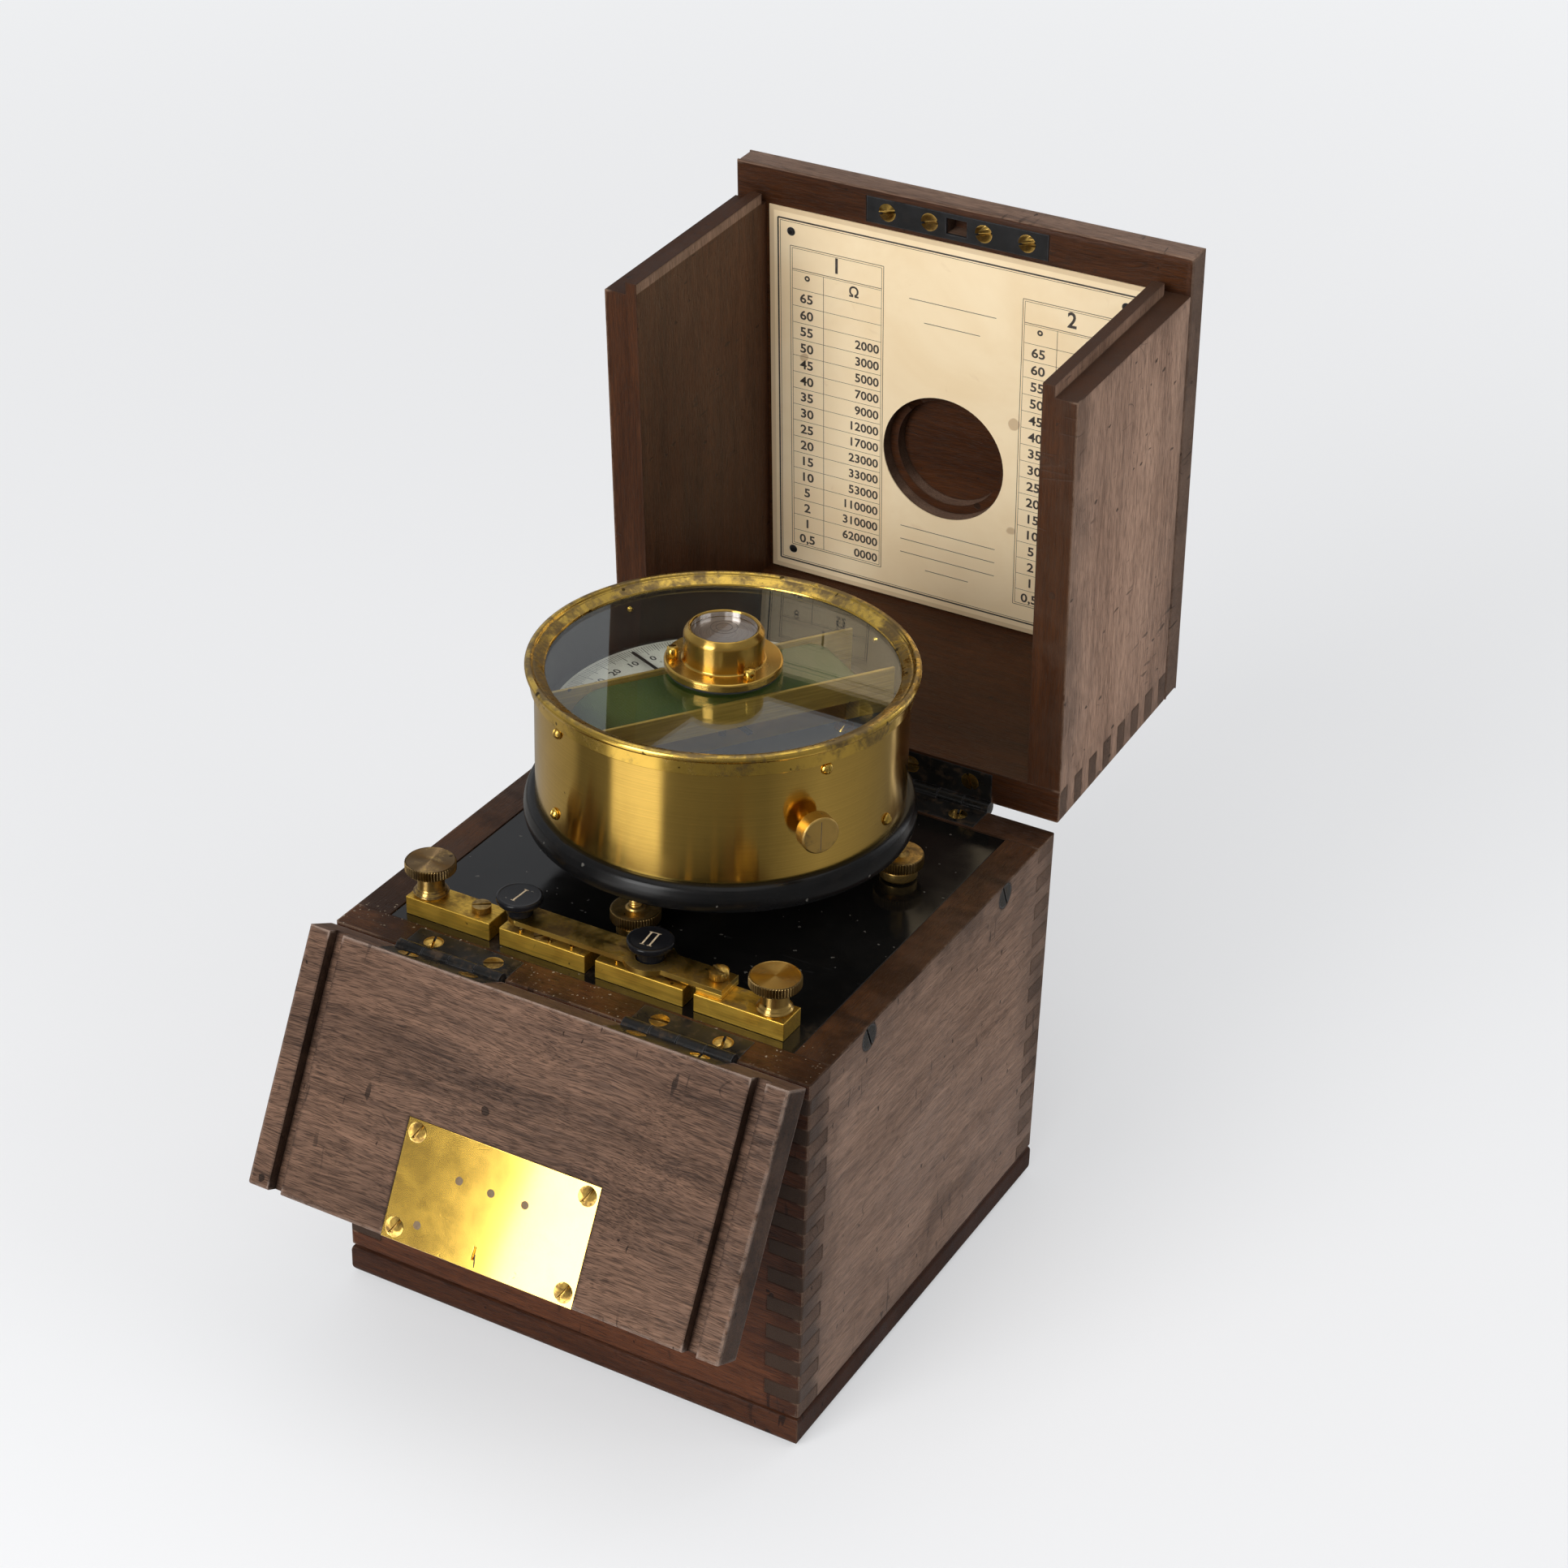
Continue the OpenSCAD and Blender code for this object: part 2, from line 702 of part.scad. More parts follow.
module flap_board() {
  color("#6e4a3c") in_flap() difference() {
    translate([-case_w / 2, front_y, lid_base]) cube([case_w, flap_t, flap_h]);
    for (s = [-1, 1])
      translate([s > 0 ? groove_x - tongue_fit : -groove_x - tongue_t - tongue_fit, front_y + flap_t - tongue_l - tongue_fit, lid_base - 1])
        cube([groove_w, tongue_l + 1, flap_h + 2]);
    leaf_pockets(front_y, 1, -1);
    knuckle_relief(front_pivot_y);
    leaf_screw_holes(front_y, 1, -1);
    translate([lock_x - lock_w / 2, lock_inner_y - lock_plate_t, lock_top - lock_h]) cube([lock_w, lock_plate_t + 1, lock_h + 1]);
    translate([lock_x - lock_case_w / 2 - 0.2, lock_inner_y - lock_plate_t - lock_case_t - 0.2, lock_top - lock_case_h - 0.2])
      cube([lock_case_w + 0.4, lock_case_t + 1, lock_case_h + 1.2]);
    lock_screws_at() wood_screw_hole(l = 8);
    keyhole(front_y - 1, flap_t);
  }
}

keyhole_z = lock_top - lock_case_h * 0.55;

// A keyhole: a round hole over a slot, cut along Y
module keyhole(y, depth) {
  translate([lock_x, y, keyhole_z]) rotate([-90, 0, 0]) cylinder(r = 1.6, h = depth);
  translate([lock_x - 0.8, y, keyhole_z - 4.6]) cube([1.6, depth, 4.6]);
}

module lock_screws_at() {
  for (x = [-1, 1])
    for (z = [lock_screw_in, lock_h - lock_screw_in])
      translate([lock_x + x * (lock_w / 2 - lock_screw_in), lock_inner_y, lock_top - z]) rotate([-90, 0, 0]) children();
}

// The lock: its plate and the case riveted to it, with the slot that the bolt slides in
module lock() {
  color("goldenrod") in_flap() difference() {
    union() {
      translate([lock_x - lock_w / 2 + 0.05, lock_inner_y - lock_plate_t, lock_top - lock_h + 0.05])
        cube([lock_w - 0.1, lock_plate_t, lock_h - 0.05]);
      translate([lock_x - lock_case_w / 2, lock_inner_y - lock_plate_t - lock_case_t, lock_top - lock_case_h])
        cube([lock_case_w, lock_case_t + eps, lock_case_h]);
    }
    lock_screws_at() wood_screw_hole(l = 8);
    translate([lock_x - 2, lock_inner_y - lock_plate_t - 0.5, lock_top - 7]) cube([0.8, lock_plate_t + 2, 4]);
    translate([lock_x - bolt_w / 2 - run_fit, lock_bolt_y - bolt_t / 2 - run_fit, lock_top - bolt_depth])
      cube([bolt_w + 2 * run_fit, bolt_t + 2 * run_fit, bolt_depth + 1]);
    keyhole(front_y - 1, flap_t - lock_plate_t - lock_case_t + 2);
  }
}

bolt_depth = 12;
bolt_tip = 0.3;

module lock_bolt() {
  color("silver") in_flap() difference() {
    translate([lock_x - bolt_w / 2, lock_bolt_y - bolt_t / 2, lock_top - bolt_depth + 0.5])
      cube([bolt_w, bolt_t, bolt_depth - 0.5 + bolt_tip]);
    translate([lock_x + bolt_w / 2 - 1.5, lock_bolt_y - bolt_t, lock_top - 3]) cube([2, 2 * bolt_t, 1.8]);
  }
}

module flap_screws() {
  color("goldenrod") in_flap() {
    leaf_screws(front_y, 1, -1);
    lock_screws_at() wood_screw(l = 8, turn = 60);
  }
}

// Row of blocks, terminals and keys

row_screw_r = 1.5;
row_screw_grip = 6;
row_head_r = 2.9;
row_head_t = 2.2;
row_screw_places = [
  [block_x(0) + block_l * 0.3, block_y],
  [block_x(1) - 1.5, block_y - 1.5],
  [block_x(2) + block_l * 0.3, block_y],
  [clamp_x, clamp_y],
];
pin_high = 0.8;
contact_r = 1.4;
contact_h = 0.15;

// One block of the row with the holes for all that goes through it
module block(i) {
  p = row_screw_places[i];
  color("goldenrod") difference() {
    translate([block_x(i) - block_l / 2, block_y - block_w / 2, panel_z]) cube([block_l, block_w, block_h]);
    translate([p[0], p[1], panel_z - 1]) cylinder(r = row_screw_r + screw_fit, h = block_h + 2);
    if (i == 1 || i == 2) translate([p[0], p[1], block_top]) wood_screw_hole(row_head_r, row_screw_r, 2);
    if (i == 0 || i == 3)
      translate([terminal_x[i == 0 ? 0 : 1], block_y, panel_z - 1]) cylinder(r = stud_r + screw_fit, h = block_h + 2);
    if (i == 1) pins_at([0, 1, 2]) translate([0, 0, -1.5]) cylinder(r = pin_contact_r + screw_fit, h = 2, $fn = 24);
    if (i == 2) {
      pins_at([3]) translate([0, 0, -1.5]) cylinder(r = pin_contact_r + screw_fit, h = 2, $fn = 24);
      translate([button2_x, key_y, block_top - 2]) cylinder(r = contact_r + screw_fit, h = 3);
    }
  }
}

module block_a() {
  block(0);
}

module block_b() {
  block(1);
}

module block_c() {
  block(2);
}

module block_d() {
  block(3);
}

// Places of the contact pins: distance from the middle of their block and from the row's line
pin_contact_r = 0.6;
pin_places = [
  [block_x(1) - 8.1, -3.4],
  [block_x(1) + 2.1, -3.9],
  [block_x(1) + 9.3, -3.1],
  [block_x(2) - 8.6, -2.6],
];

module pins_at(list) {
  for (i = list) translate([pin_places[i][0], block_y + pin_places[i][1], block_top]) children();
}

module contact_pins() {
  color("gold") {
    pins_at([0, 1, 2, 3]) translate([0, 0, -1.5]) cylinder(r = pin_contact_r, h = 1.5 + pin_high, $fn = 24);
    translate([button2_x, key_y, block_top - 2]) cylinder(r = contact_r, h = 2 + contact_h);
  }
}

module row_screws() {
  color("goldenrod") {
    translate([row_screw_places[0][0], row_screw_places[0][1], block_top])
      cheese_screw(row_head_r, row_head_t, row_screw_r, block_h + row_screw_grip - 0.5, 35);
    for (i = [1, 2])
      translate([row_screw_places[i][0], row_screw_places[i][1], block_top])
        wood_screw(row_head_r, row_screw_r, block_h + row_screw_grip - 0.5, 50);
    translate([clamp_x, clamp_y, lever_z + lever_t + clamp_lift])
      cheese_screw(clamp_head_r, clamp_head_t, row_screw_r, block_h + spacer_t + lever_t + clamp_lift + row_screw_grip - 0.5, -15);
  }
}

module terminal_studs() {
  color("goldenrod")
    for (x = terminal_x) {
      translate([x, block_y, panel_z - stud_drop - panel_t + 4]) cylinder(r = stud_r, h = stud_drop + panel_t - 4 + block_h + stud_up);
      translate([x, block_y, panel_z - panel_t - stud_nut_t]) cylinder(r = stud_nut_r, h = stud_nut_t, $fn = 6);
    }
}

module terminal_washer(x) {
  translate([x, block_y, block_top]) difference() {
    cylinder(r = washer_r, h = washer_t);
    translate([0, 0, -1]) cylinder(r = stud_r + run_fit, h = washer_t + 2);
  }
}

module washer_left() {
  color("goldenrod") terminal_washer(terminal_x[0]);
}

module washer_right() {
  color("goldenrod") terminal_washer(terminal_x[1]);
}

// A turned nut: flared foot, ring, waist and knurled head
module terminal_nut(x) {
  collar_r = 4.3;
  waist_r = 2.9;
  translate([x, block_y, block_top + washer_t]) difference() {
    union() {
      rotate_extrude() polygon([[0, 0], [collar_r, 0], [collar_r, 0.8], [collar_r - 0.5, 1.7], [waist_r + 0.7, 2.3],
        [waist_r + 0.7, 2.9], [waist_r + 0.1, 3.4], [waist_r, 4.4], [waist_r + 0.1, nut_h - 1.6], [waist_r + 0.9, nut_h - 0.6],
        [waist_r + 1.3, nut_h], [0, nut_h]]);
      translate([0, 0, nut_h]) knurled(head_r, head_t - 0.4);
      translate([0, 0, nut_h + head_t - 0.4]) cylinder(r1 = head_r - 0.3, r2 = head_r - 0.7, h = 0.4);
    }
    translate([0, 0, -1]) cylinder(r = stud_r + run_fit, h = nut_h + head_t - 0.8);
  }
}

module nut_left() {
  color("darkgoldenrod") terminal_nut(terminal_x[0]);
}

module nut_right() {
  color("darkgoldenrod") terminal_nut(terminal_x[1]);
}

module key_spacer() {
  color("goldenrod") difference() {
    translate([bend_x, key_y - lever_w / 2, block_top]) cube([spacer_l, lever_w, spacer_t]);
    translate([bend_x - 1, key_y - leaf2_w / 2 - 0.2, block_top - 1]) cube([leaf2_tail + 1.2, leaf2_w + 0.4, leaf2_t + 1.2]);
    translate([clamp_x, clamp_y, block_top - 1]) cylinder(r = row_screw_r + screw_fit, h = spacer_t + 2);
  }
}

module lever_1() {
  color("#b08a3a") difference() {
    union() {
      translate([lever_end + lever_w / 2, key_y - lever_w / 2, lever_z]) cube([bend_x + spacer_l - lever_end - lever_w / 2, lever_w, lever_t]);
      translate([lever_end + lever_w / 2, key_y, lever_z]) cylinder(r = lever_w / 2, h = lever_t);
      translate([button2_x, key_y, lever_z]) cylinder(r = eye_r, h = lever_t);
    }
    translate([button2_x, key_y, lever_z - 1]) cylinder(r = eye_hole_r, h = lever_t + 2);
    translate([clamp_x, clamp_y, lever_z - 1]) cylinder(r = row_screw_r + 0.25, h = lever_t + 2);
  }
}

// A dished button on a neck
module button(x, z0) {
  translate([x, key_y, z0]) {
    cylinder(r = neck_r, h = button_z - z0 + 0.5);
    translate([0, 0, button_z - z0]) rotate_extrude() {
      difference() {
        union() {
          square([button_r - button_t / 2, button_t]);
          translate([button_r - button_t / 2, button_t / 2]) circle(button_t / 2, $fn = 32);
        }
        translate([0, button_t + 19.6]) circle(20, $fn = 128);
        translate([-50, -50]) square([50, 100]);
      }
    }
  }
}

module button_1() {
  color("#101012") button(button1_x, lever_z + lever_t);
}

module leaf_2() {
  z0 = block_top;
  leaf_end = button2_x - 6;
  color("goldenrod") translate([0, key_y + leaf2_w / 2, z0]) rotate([90, 0, 0]) linear_extrude(leaf2_w)
    polygon([[bend_x + leaf2_tail, 0], [bend_x + leaf2_tail, leaf2_t], [bend_x, leaf2_t],
      [bend_x - leaf2_ramp, leaf2_rise + leaf2_t], [leaf_end, leaf2_rise + leaf2_t], [leaf_end, leaf2_rise],
      [bend_x - leaf2_ramp, leaf2_rise], [bend_x, 0]]);
}

module button_2() {
  color("#101012") button(button2_x, block_top + leaf2_rise + leaf2_t);
}

// Galvanometer

foot_places = [
  [drum_x + foot_front * cos(-94), axis_y + foot_front * sin(-94)],
  [drum_x + foot_rear * cos(foot_rear_turn), axis_y + foot_rear * sin(foot_rear_turn)],
  [drum_x - foot_rear * cos(foot_rear_turn), axis_y + foot_rear * sin(foot_rear_turn)],
];

module at_axis() {
  translate([drum_x, axis_y, 0]) children();
}

module galvo_base() {
  r = base_t / 2;
  color("#121214") difference() {
    union() {
      at_axis() translate([0, 0, base_z]) rotate_extrude($fn = 128) {
        square([base_r - r, base_t]);
        difference() {
          translate([base_r - r, r]) circle(r, $fn = 48);
          translate([-100, -50]) square([100, 100]);
        }
      }
    }
    for (p = foot_places) translate([p[0], p[1], base_z - 1]) cylinder(r = foot_thread_r + run_fit, h = bore_depth + 1);
    at_axis() translate([0, 0, base_z - 1]) cylinder(r = centre_bolt_r + screw_fit, h = bore_depth + 1);
    at_coil() for (p = pillar_places) translate([p[0], p[1], floor_z - 2]) cylinder(r = pillar_r + screw_fit, h = 3);
  }
}

// The bolt that draws the galvanometer down on its feet, with its nut under the panel
module centre_bolt() {
  color("goldenrod") at_axis() {
    translate([0, 0, panel_z - panel_t - 5]) cylinder(r = centre_bolt_r, h = 5 + panel_t + panel_drop + base_up + bore_depth - 0.5);
    translate([0, 0, panel_z - panel_t - 3.5]) cylinder(r = 5.2, h = 3.5, $fn = 6);
  }
}

module foot_screw(p) {
  color("darkgoldenrod") translate([p[0], p[1], panel_z]) {
    cylinder(r = foot_thread_r, h = base_up + panel_drop + bore_depth - 0.5);
    translate([0, 0, 0.8]) cylinder(r1 = foot_hub_r - 0.8, r2 = foot_hub_r, h = 0.8);
    translate([0, 0, 1.6]) cylinder(r = foot_hub_r, h = foot_hub_t - 1.6);
    translate([0, 0, foot_hub_t]) knurled(foot_r, foot_t - 0.4);
    translate([0, 0, foot_hub_t + foot_t - 0.4]) cylinder(r1 = foot_r - 0.3, r2 = foot_r - 0.7, h = 0.4);
  }
}

module foot_front_screw() {
  foot_screw(foot_places[0]);
}

module foot_right_screw() {
  foot_screw(foot_places[1]);
}

module foot_left_screw() {
  foot_screw(foot_places[2]);
}

drum_screw_places = [
  for (a = [-118, -28, 62, 152]) [a, drum_h - 6.5],
  for (a = [-120, 0, 120]) [a, 6],
];

module drum() {
  color("#c9a23c") difference() {
    at_axis() translate([0, 0, floor_z]) rotate_extrude($fn = 128) translate([inner_r, 0]) square([drum_t, drum_h]);
    drum_screws_at() cylinder(r = 0.8 + screw_fit, h = 20, center = true, $fn = 24);
    arrest_axis() cylinder(r = arrest_r + run_fit, h = drum_r + 5);
  }
}

// Places what follows on the drum's wall, pointing outwards
module drum_screws_at() {
  for (q = drum_screw_places)
    at_axis() rotate([0, 0, q[0]]) translate([drum_r, 0, floor_z + q[1]]) rotate([0, 90, 0]) children();
}

// Small brass screws: round heads in the drum's wall, flat heads on the floor plate's pillars,
// and drilled heads on the level's flange
module galvo_screws() {
  color("goldenrod") {
    drum_screws_at() difference() {
      union() {
        translate([0, 0, -drum_t - 1]) cylinder(r = 0.8, h = drum_t + 1.3, $fn = 24);
        translate([0, 0, 0.1]) intersection() {
          translate([0, 0, -0.5]) sphere(r = 2, $fn = 32);
          cylinder(r = 2.5, h = 2, $fn = 24);
        }
      }
      translate([-2.5, -0.2, 1]) cube([5, 0.4, 1]);
    }
    at_coil() for (p = pillar_places) translate([p[0], p[1], plate_z]) cheese_screw(3, 0.8, 1.2, 5, 30 + p[0] + p[1]);
    level_screws_at() difference() {
      union() {
        translate([0, 0, -3]) cylinder(r = 0.8, h = 5, $fn = 24);
        cylinder(r = 1.7, h = 3, $fn = 24);
      }
      for (a = [0, 90]) translate([0, 0, 1.7]) rotate([90, 0, a]) cylinder(r = 0.5, h = 4, center = true, $fn = 16);
    }
  }
}

// A spun ring with a rolled lip, which holds the glass down on the drum
module bezel() {
  skirt_r = drum_r + 0.05;
  skirt_h = 4.2;
  lip_t = 2.8;
  lip_z = drum_top;
  color("#b8912f") at_axis() rotate_extrude($fn = 128) {
    difference() {
      union() {
        translate([skirt_r, lip_z - skirt_h]) square([drum_t, skirt_h + 1]);
        translate([glass_r, lip_z + 0.05]) square([bezel_r - lip_t / 2 - glass_r, lip_t * 0.7]);
        translate([bezel_r - lip_t / 2, lip_z + lip_t / 2 + 0.05]) circle(lip_t / 2, $fn = 32);
      }
      translate([0, lip_z + 1]) polygon([[0, 0], [glass_r + 0.4, 0], [glass_r + 3, lip_t], [0, lip_t]]);
    }
  }
}

module cover_glass() {
  color([0.8, 0.9, 0.9, 0.3]) at_axis() translate([0, 0, glass_z]) cylinder(r = inner_r - drop_fit, h = glass_t, $fn = 128);
}

// Pillars that carry the floor plate, given along and across the coil
pillar_r = 3;
pillar_places = [for (a = [-1, 1]) for (b = [-1, 1]) [b < 0 ? a * 31 : a * 22, b * (coil_w / 2 + 5.6)]];

// Turns what follows so that X runs along the coil and Y across it
module at_coil() {
  translate([drum_x, axis_y, 0]) rotate([0, 0, coil_turn]) children();
}

module inner_plate() {
  color("#101011") difference() {
    union() {
      at_axis() translate([0, 0, plate_z - plate_t]) cylinder(r = inner_r - drop_fit, h = plate_t, $fn = 128);
      at_coil() for (p = pillar_places) translate([p[0], p[1], floor_z - 2]) cylinder(r = pillar_r, h = plate_z - plate_t - floor_z + 2 + eps);
    }
    at_coil() for (p = pillar_places) translate([p[0], p[1], plate_z - 5.2]) cylinder(r = 1.2 + screw_fit, h = 6);
    at_coil() translate([-cheek_l / 2 - 0.3, -coil_w / 2 - cheek_t - 0.3, plate_z - plate_t - 1])
      cube([cheek_l + 0.6, coil_w + 2 * cheek_t + 0.6, plate_t + 2]);
  }
}

module scale_plate() {
  color("#dcdcd4") at_coil() translate([0, 0, plate_z]) difference() {
    rotate([0, 0, 90 - scale_arc / 2]) rotate_extrude(angle = scale_arc, $fn = 128) translate([scale_r - scale_w, 0]) square([scale_w, 0.8]);
    translate([-60, -60, -1]) cube([120, 60 + coil_w / 2 + cheek_t + 0.3, 3]);
  }
}

// Coil: two cheek plates with a window and a core between them, on two cross feet
wire_r = wire_d / 2;
wire_gap = 0.05;
wind_r = cheek_h / 2 - 1.3;
core_r = (wind_r - wire_r) * cos(15) - wire_r - wire_gap;
track_half = coil_straight / 2;
coil_foot_x = track_half - 4;
coil_foot_l = 9;

// The flat outline of the coil, long and round-ended
module track(r, h) {
  translate([0, h / 2, 0]) rotate([90, 0, 0]) linear_extrude(h) {
    translate([-track_half, -r]) square([2 * track_half, 2 * r]);
    for (x = [-track_half, track_half]) translate([x, 0]) circle(r);
  }
}

module coil_former() {
  color("#c79a35") difference() {
    at_coil() translate([0, 0, coil_z]) {
      for (s = [-1, 1])
        translate([-cheek_l / 2, s > 0 ? coil_w / 2 : -coil_w / 2 - cheek_t, -cheek_h / 2]) cube([cheek_l, cheek_t, cheek_h]);
      track(core_r, coil_w);
      for (a = [-coil_foot_x, coil_foot_x])
        for (s = [-1, 1])
          translate([a - coil_foot_l / 2, s > 0 ? coil_w / 2 : -coil_w / 2 - cheek_t, floor_z - coil_z])
            cube([coil_foot_l, cheek_t, coil_z - floor_z]);
    }
    at_coil() translate([-window_l / 2, -coil_w, coil_z - window_h / 2]) cube([window_l, 2 * coil_w, window_h]);
    at_coil() translate([0, 0, coil_z - window_h / 2 - 3]) cylinder(r = post_r + screw_fit, h = 4);
  }
}

// The outer layer: one unbroken helix that follows the same outline
ring_n = 24;
wind_pitch = (coil_w - wire_d - 0.6) / coil_loops;

// Point number k of ring_n on the outline, counted from the middle of the underside
function track_point(k) =
  let (c = wind_r - wire_r, q = k % ring_n)
  q < 3 ? [-track_half * q / 3, -c] :
  q < 9 ? [-track_half - c * sin((q - 3) * 30), -c * cos((q - 3) * 30)] :
  q < 15 ? [track_half * (q - 12) / 3, c] :
  q < 21 ? [track_half + c * sin((q - 15) * 30), c * cos((q - 15) * 30)] :
  [track_half * (24 - q) / 3, -c];
wind_points = [
  for (k = [0 : ring_n * coil_loops])
    let (p = track_point(k))
    [p[0], -coil_w / 2 + 0.3 + wire_r + wind_pitch * k / ring_n, p[1]],
];
wind_gap = min([
  for (i = [0 : len(wind_points) - ring_n - 4])
    for (k = [ring_n - 3 : ring_n + 3])
      norm(wind_points[i + k] - wind_points[i]),
]) - wire_d;
echo("least gap between two loops of the winding", wind_gap);

function unit(v) = v / norm(v);
// A tube of n sides swept along points, as one closed surface
module tube(points, r, n) {
  m = len(points);
  side = [0, 1, 0];
  rings = [
    for (i = [0 : m - 1])
      let (
        t = unit(points[min(i + 1, m - 1)] - points[max(i - 1, 0)]),
        u = unit(cross(t, side)),
        w = cross(u, t)
      )
      for (j = [0 : n - 1]) points[i] + r * (cos(j * 360 / n) * w + sin(j * 360 / n) * u),
  ];
  faces = [
    for (i = [0 : m - 2])
      for (j = [0 : n - 1])
        let (a = i * n + j, b = i * n + (j + 1) % n)
        each [[a, b, b + n], [a, b + n, a + n]],
    for (j = [1 : n - 2]) [0, j + 1, j],
    for (j = [1 : n - 2]) [(m - 1) * n, (m - 1) * n + j, (m - 1) * n + j + 1],
  ];
  polyhedron(rings, faces);
}

module coil_winding() {
  color("#2c4a1c") at_coil() translate([0, 0, coil_z]) tube(wind_points, wire_r, 6);
}

post_r = 1.2;
post_top = needle_z + 0.4;

// Pivot post on the floor of the coil's window, with its steel point
module pivot_post() {
  color("silver") at_axis() {
    translate([0, 0, coil_z - window_h / 2 - 2.5]) cylinder(r = post_r, h = post_top - 1.5 - coil_z + window_h / 2 + 2.5);
    translate([0, 0, post_top - 1.5]) cylinder(r1 = post_r, r2 = 0.25, h = 1.5);
  }
}

// Magnet, cap and pointer in one swinging piece
module needle() {
  cap_r = 3;
  color("#1a1a1c") at_axis() difference() {
    union() {
      translate([0, 0, needle_z - 0.4]) cylinder(r = cap_r, h = 2.2);
      rotate([0, 0, pointer_turn - 90]) translate([0, 0, needle_z]) linear_extrude(1.2)
        polygon([[-magnet_l / 2, 0], [-6, -2.6], [6, -2.6], [magnet_l / 2, 0], [6, 2.6], [-6, 2.6]]);
      rotate([0, 0, pointer_turn]) translate([0, -0.4, needle_z + 0.5]) cube([pointer_l, 0.8, 0.5]);
      rotate([0, 0, pointer_turn]) translate([-14, -0.8, needle_z + 0.5]) cube([14, 1.6, 0.8]);
    }
    translate([0, 0, needle_z - 1]) cylinder(r1 = 1.9, r2 = 0.5, h = 1.5);
  }
}

// Turns Z into the arrest stem's axis, pointing outwards from the pivot
module arrest_axis() {
  at_axis() rotate([0, 0, arrest_turn]) translate([0, 0, arrest_z]) rotate([0, 90, 0]) children();
}

// Knob and stem; the finger at the stem's inner end turns up under the needle's cap and holds it
module arrest_knob() {
  stem_in = post_r + 0.8;
  finger_l = needle_z - 0.7 - arrest_z;
  color("darkgoldenrod") arrest_axis() {
    translate([0, 0, stem_in]) cylinder(r = arrest_r, h = drum_r + 4 - stem_in);
    translate([-0.5, 0, stem_in]) cube([1, finger_l, 1]);
    translate([0, 0, drum_r + 0.3]) cylinder(r = 2, h = 3.4, $fn = 32);
    translate([0, 0, drum_r + 3.7]) knurled(arrest_knob_r, 4.6);
    translate([0, 0, drum_r + 8.3]) cylinder(r1 = arrest_knob_r - 0.3, r2 = arrest_knob_r - 0.7, h = 0.4);
  }
}

// Spirit level: a flanged cup on a thin gasket, and its glass

level_flange_t = 3.3;
level_glass_t = 4;

module level_screws_at() {
  at_axis()
    for (a = [-30, 90, 210])
      rotate([0, 0, a]) translate([level_r - 2.6, 0, drum_top + level_flange_t]) children();
}

module level_cup() {
  rim_r = level_glass_r + 0.5;
  color("#c39a36") difference() {
    at_axis() translate([0, 0, drum_top]) rotate_extrude() polygon([[0, 0], [level_r - 0.8, 0], [level_r - 0.8, 0.6], [level_r, 0.6],
      [level_r, level_flange_t - 0.3], [level_r - 0.3, level_flange_t], [cup_r, level_flange_t], [cup_r, level_h - 3],
      [cup_r - 0.4, level_h - 2.1], [rim_r + 0.4, level_h - 0.5], [rim_r, level_h], [level_glass_r, level_h],
      [level_glass_r, level_h - level_glass_t], [0, level_h - level_glass_t]]);
    level_screws_at() translate([0, 0, -3 - screw_fit]) cylinder(r = 0.8 + screw_fit, h = 6, $fn = 24);
  }
}

module level_glass() {
  color([0.85, 0.88, 0.8, 0.6]) at_axis() translate([0, 0, drum_top + level_h - level_glass_t])
    cylinder(r = level_glass_r - 0.05, h = level_glass_t - 0.4);
}

// Under the panel

centre_bolt_r = 2.5;
bobbin_x = 38;
bobbin_y = axis_y + 10;
bobbin_screw_r = 1.5;

module resistance_bobbins() {
  for (s = [-1, 1]) translate([s * bobbin_x, bobbin_y, panel_z - panel_t]) {
    color("#2c4a1c") translate([0, 0, -bobbin_h + 2]) cylinder(r = bobbin_r - 1.5, h = bobbin_h - 4);
    color("#3a2a1e") for (z = [-2, -bobbin_h]) translate([0, 0, z]) cylinder(r = bobbin_r, h = 2);
    color("goldenrod") translate([0, 0, -bobbin_h - 1.8]) cylinder(r = 3, h = 1.8);
    color("goldenrod") cylinder(r = bobbin_screw_r, h = 4.5);
  }
}

module battery() {
  gap_x = inner_w / cell_n;
  gap_y = inner_d / cell_n;
  for (i = [0 : cell_n - 1])
    for (j = [0 : cell_n - 1])
      translate([(i - (cell_n - 1) / 2) * gap_x, (j - (cell_n - 1) / 2) * gap_y, bottom_t]) {
        color("#8c8c86") cylinder(d = cell_d, h = cell_h);
        color("goldenrod") translate([0, 0, cell_h]) cylinder(r = 4, h = 4);
      }
}

case_front();
case_back();
case_left();
case_right();
bottom_board();
panel();
panel_battens();
side_screws();
hinge_leaves_case();
hinge_leaves_lid();
hinge_leaves_flap();
hinge_screws_case();
lid_board();
lid_left();
lid_right();
lid_back();
lid_screws();
strike_plate();
chart_card();
card_nails();
flap_board();
flap_screws();
lock();
lock_bolt();
block_a();
block_b();
block_c();
block_d();
row_screws();
contact_pins();
terminal_studs();
washer_left();
washer_right();
nut_left();
nut_right();
key_spacer();
lever_1();
button_1();
leaf_2();
button_2();
galvo_base();
centre_bolt();
drum();
bezel();
cover_glass();
galvo_screws();
foot_front_screw();
foot_right_screw();
foot_left_screw();
inner_plate();
scale_plate();
coil_former();
coil_winding();
needle();
pivot_post();
arrest_knob();
level_cup();
level_glass();
resistance_bobbins();
battery();
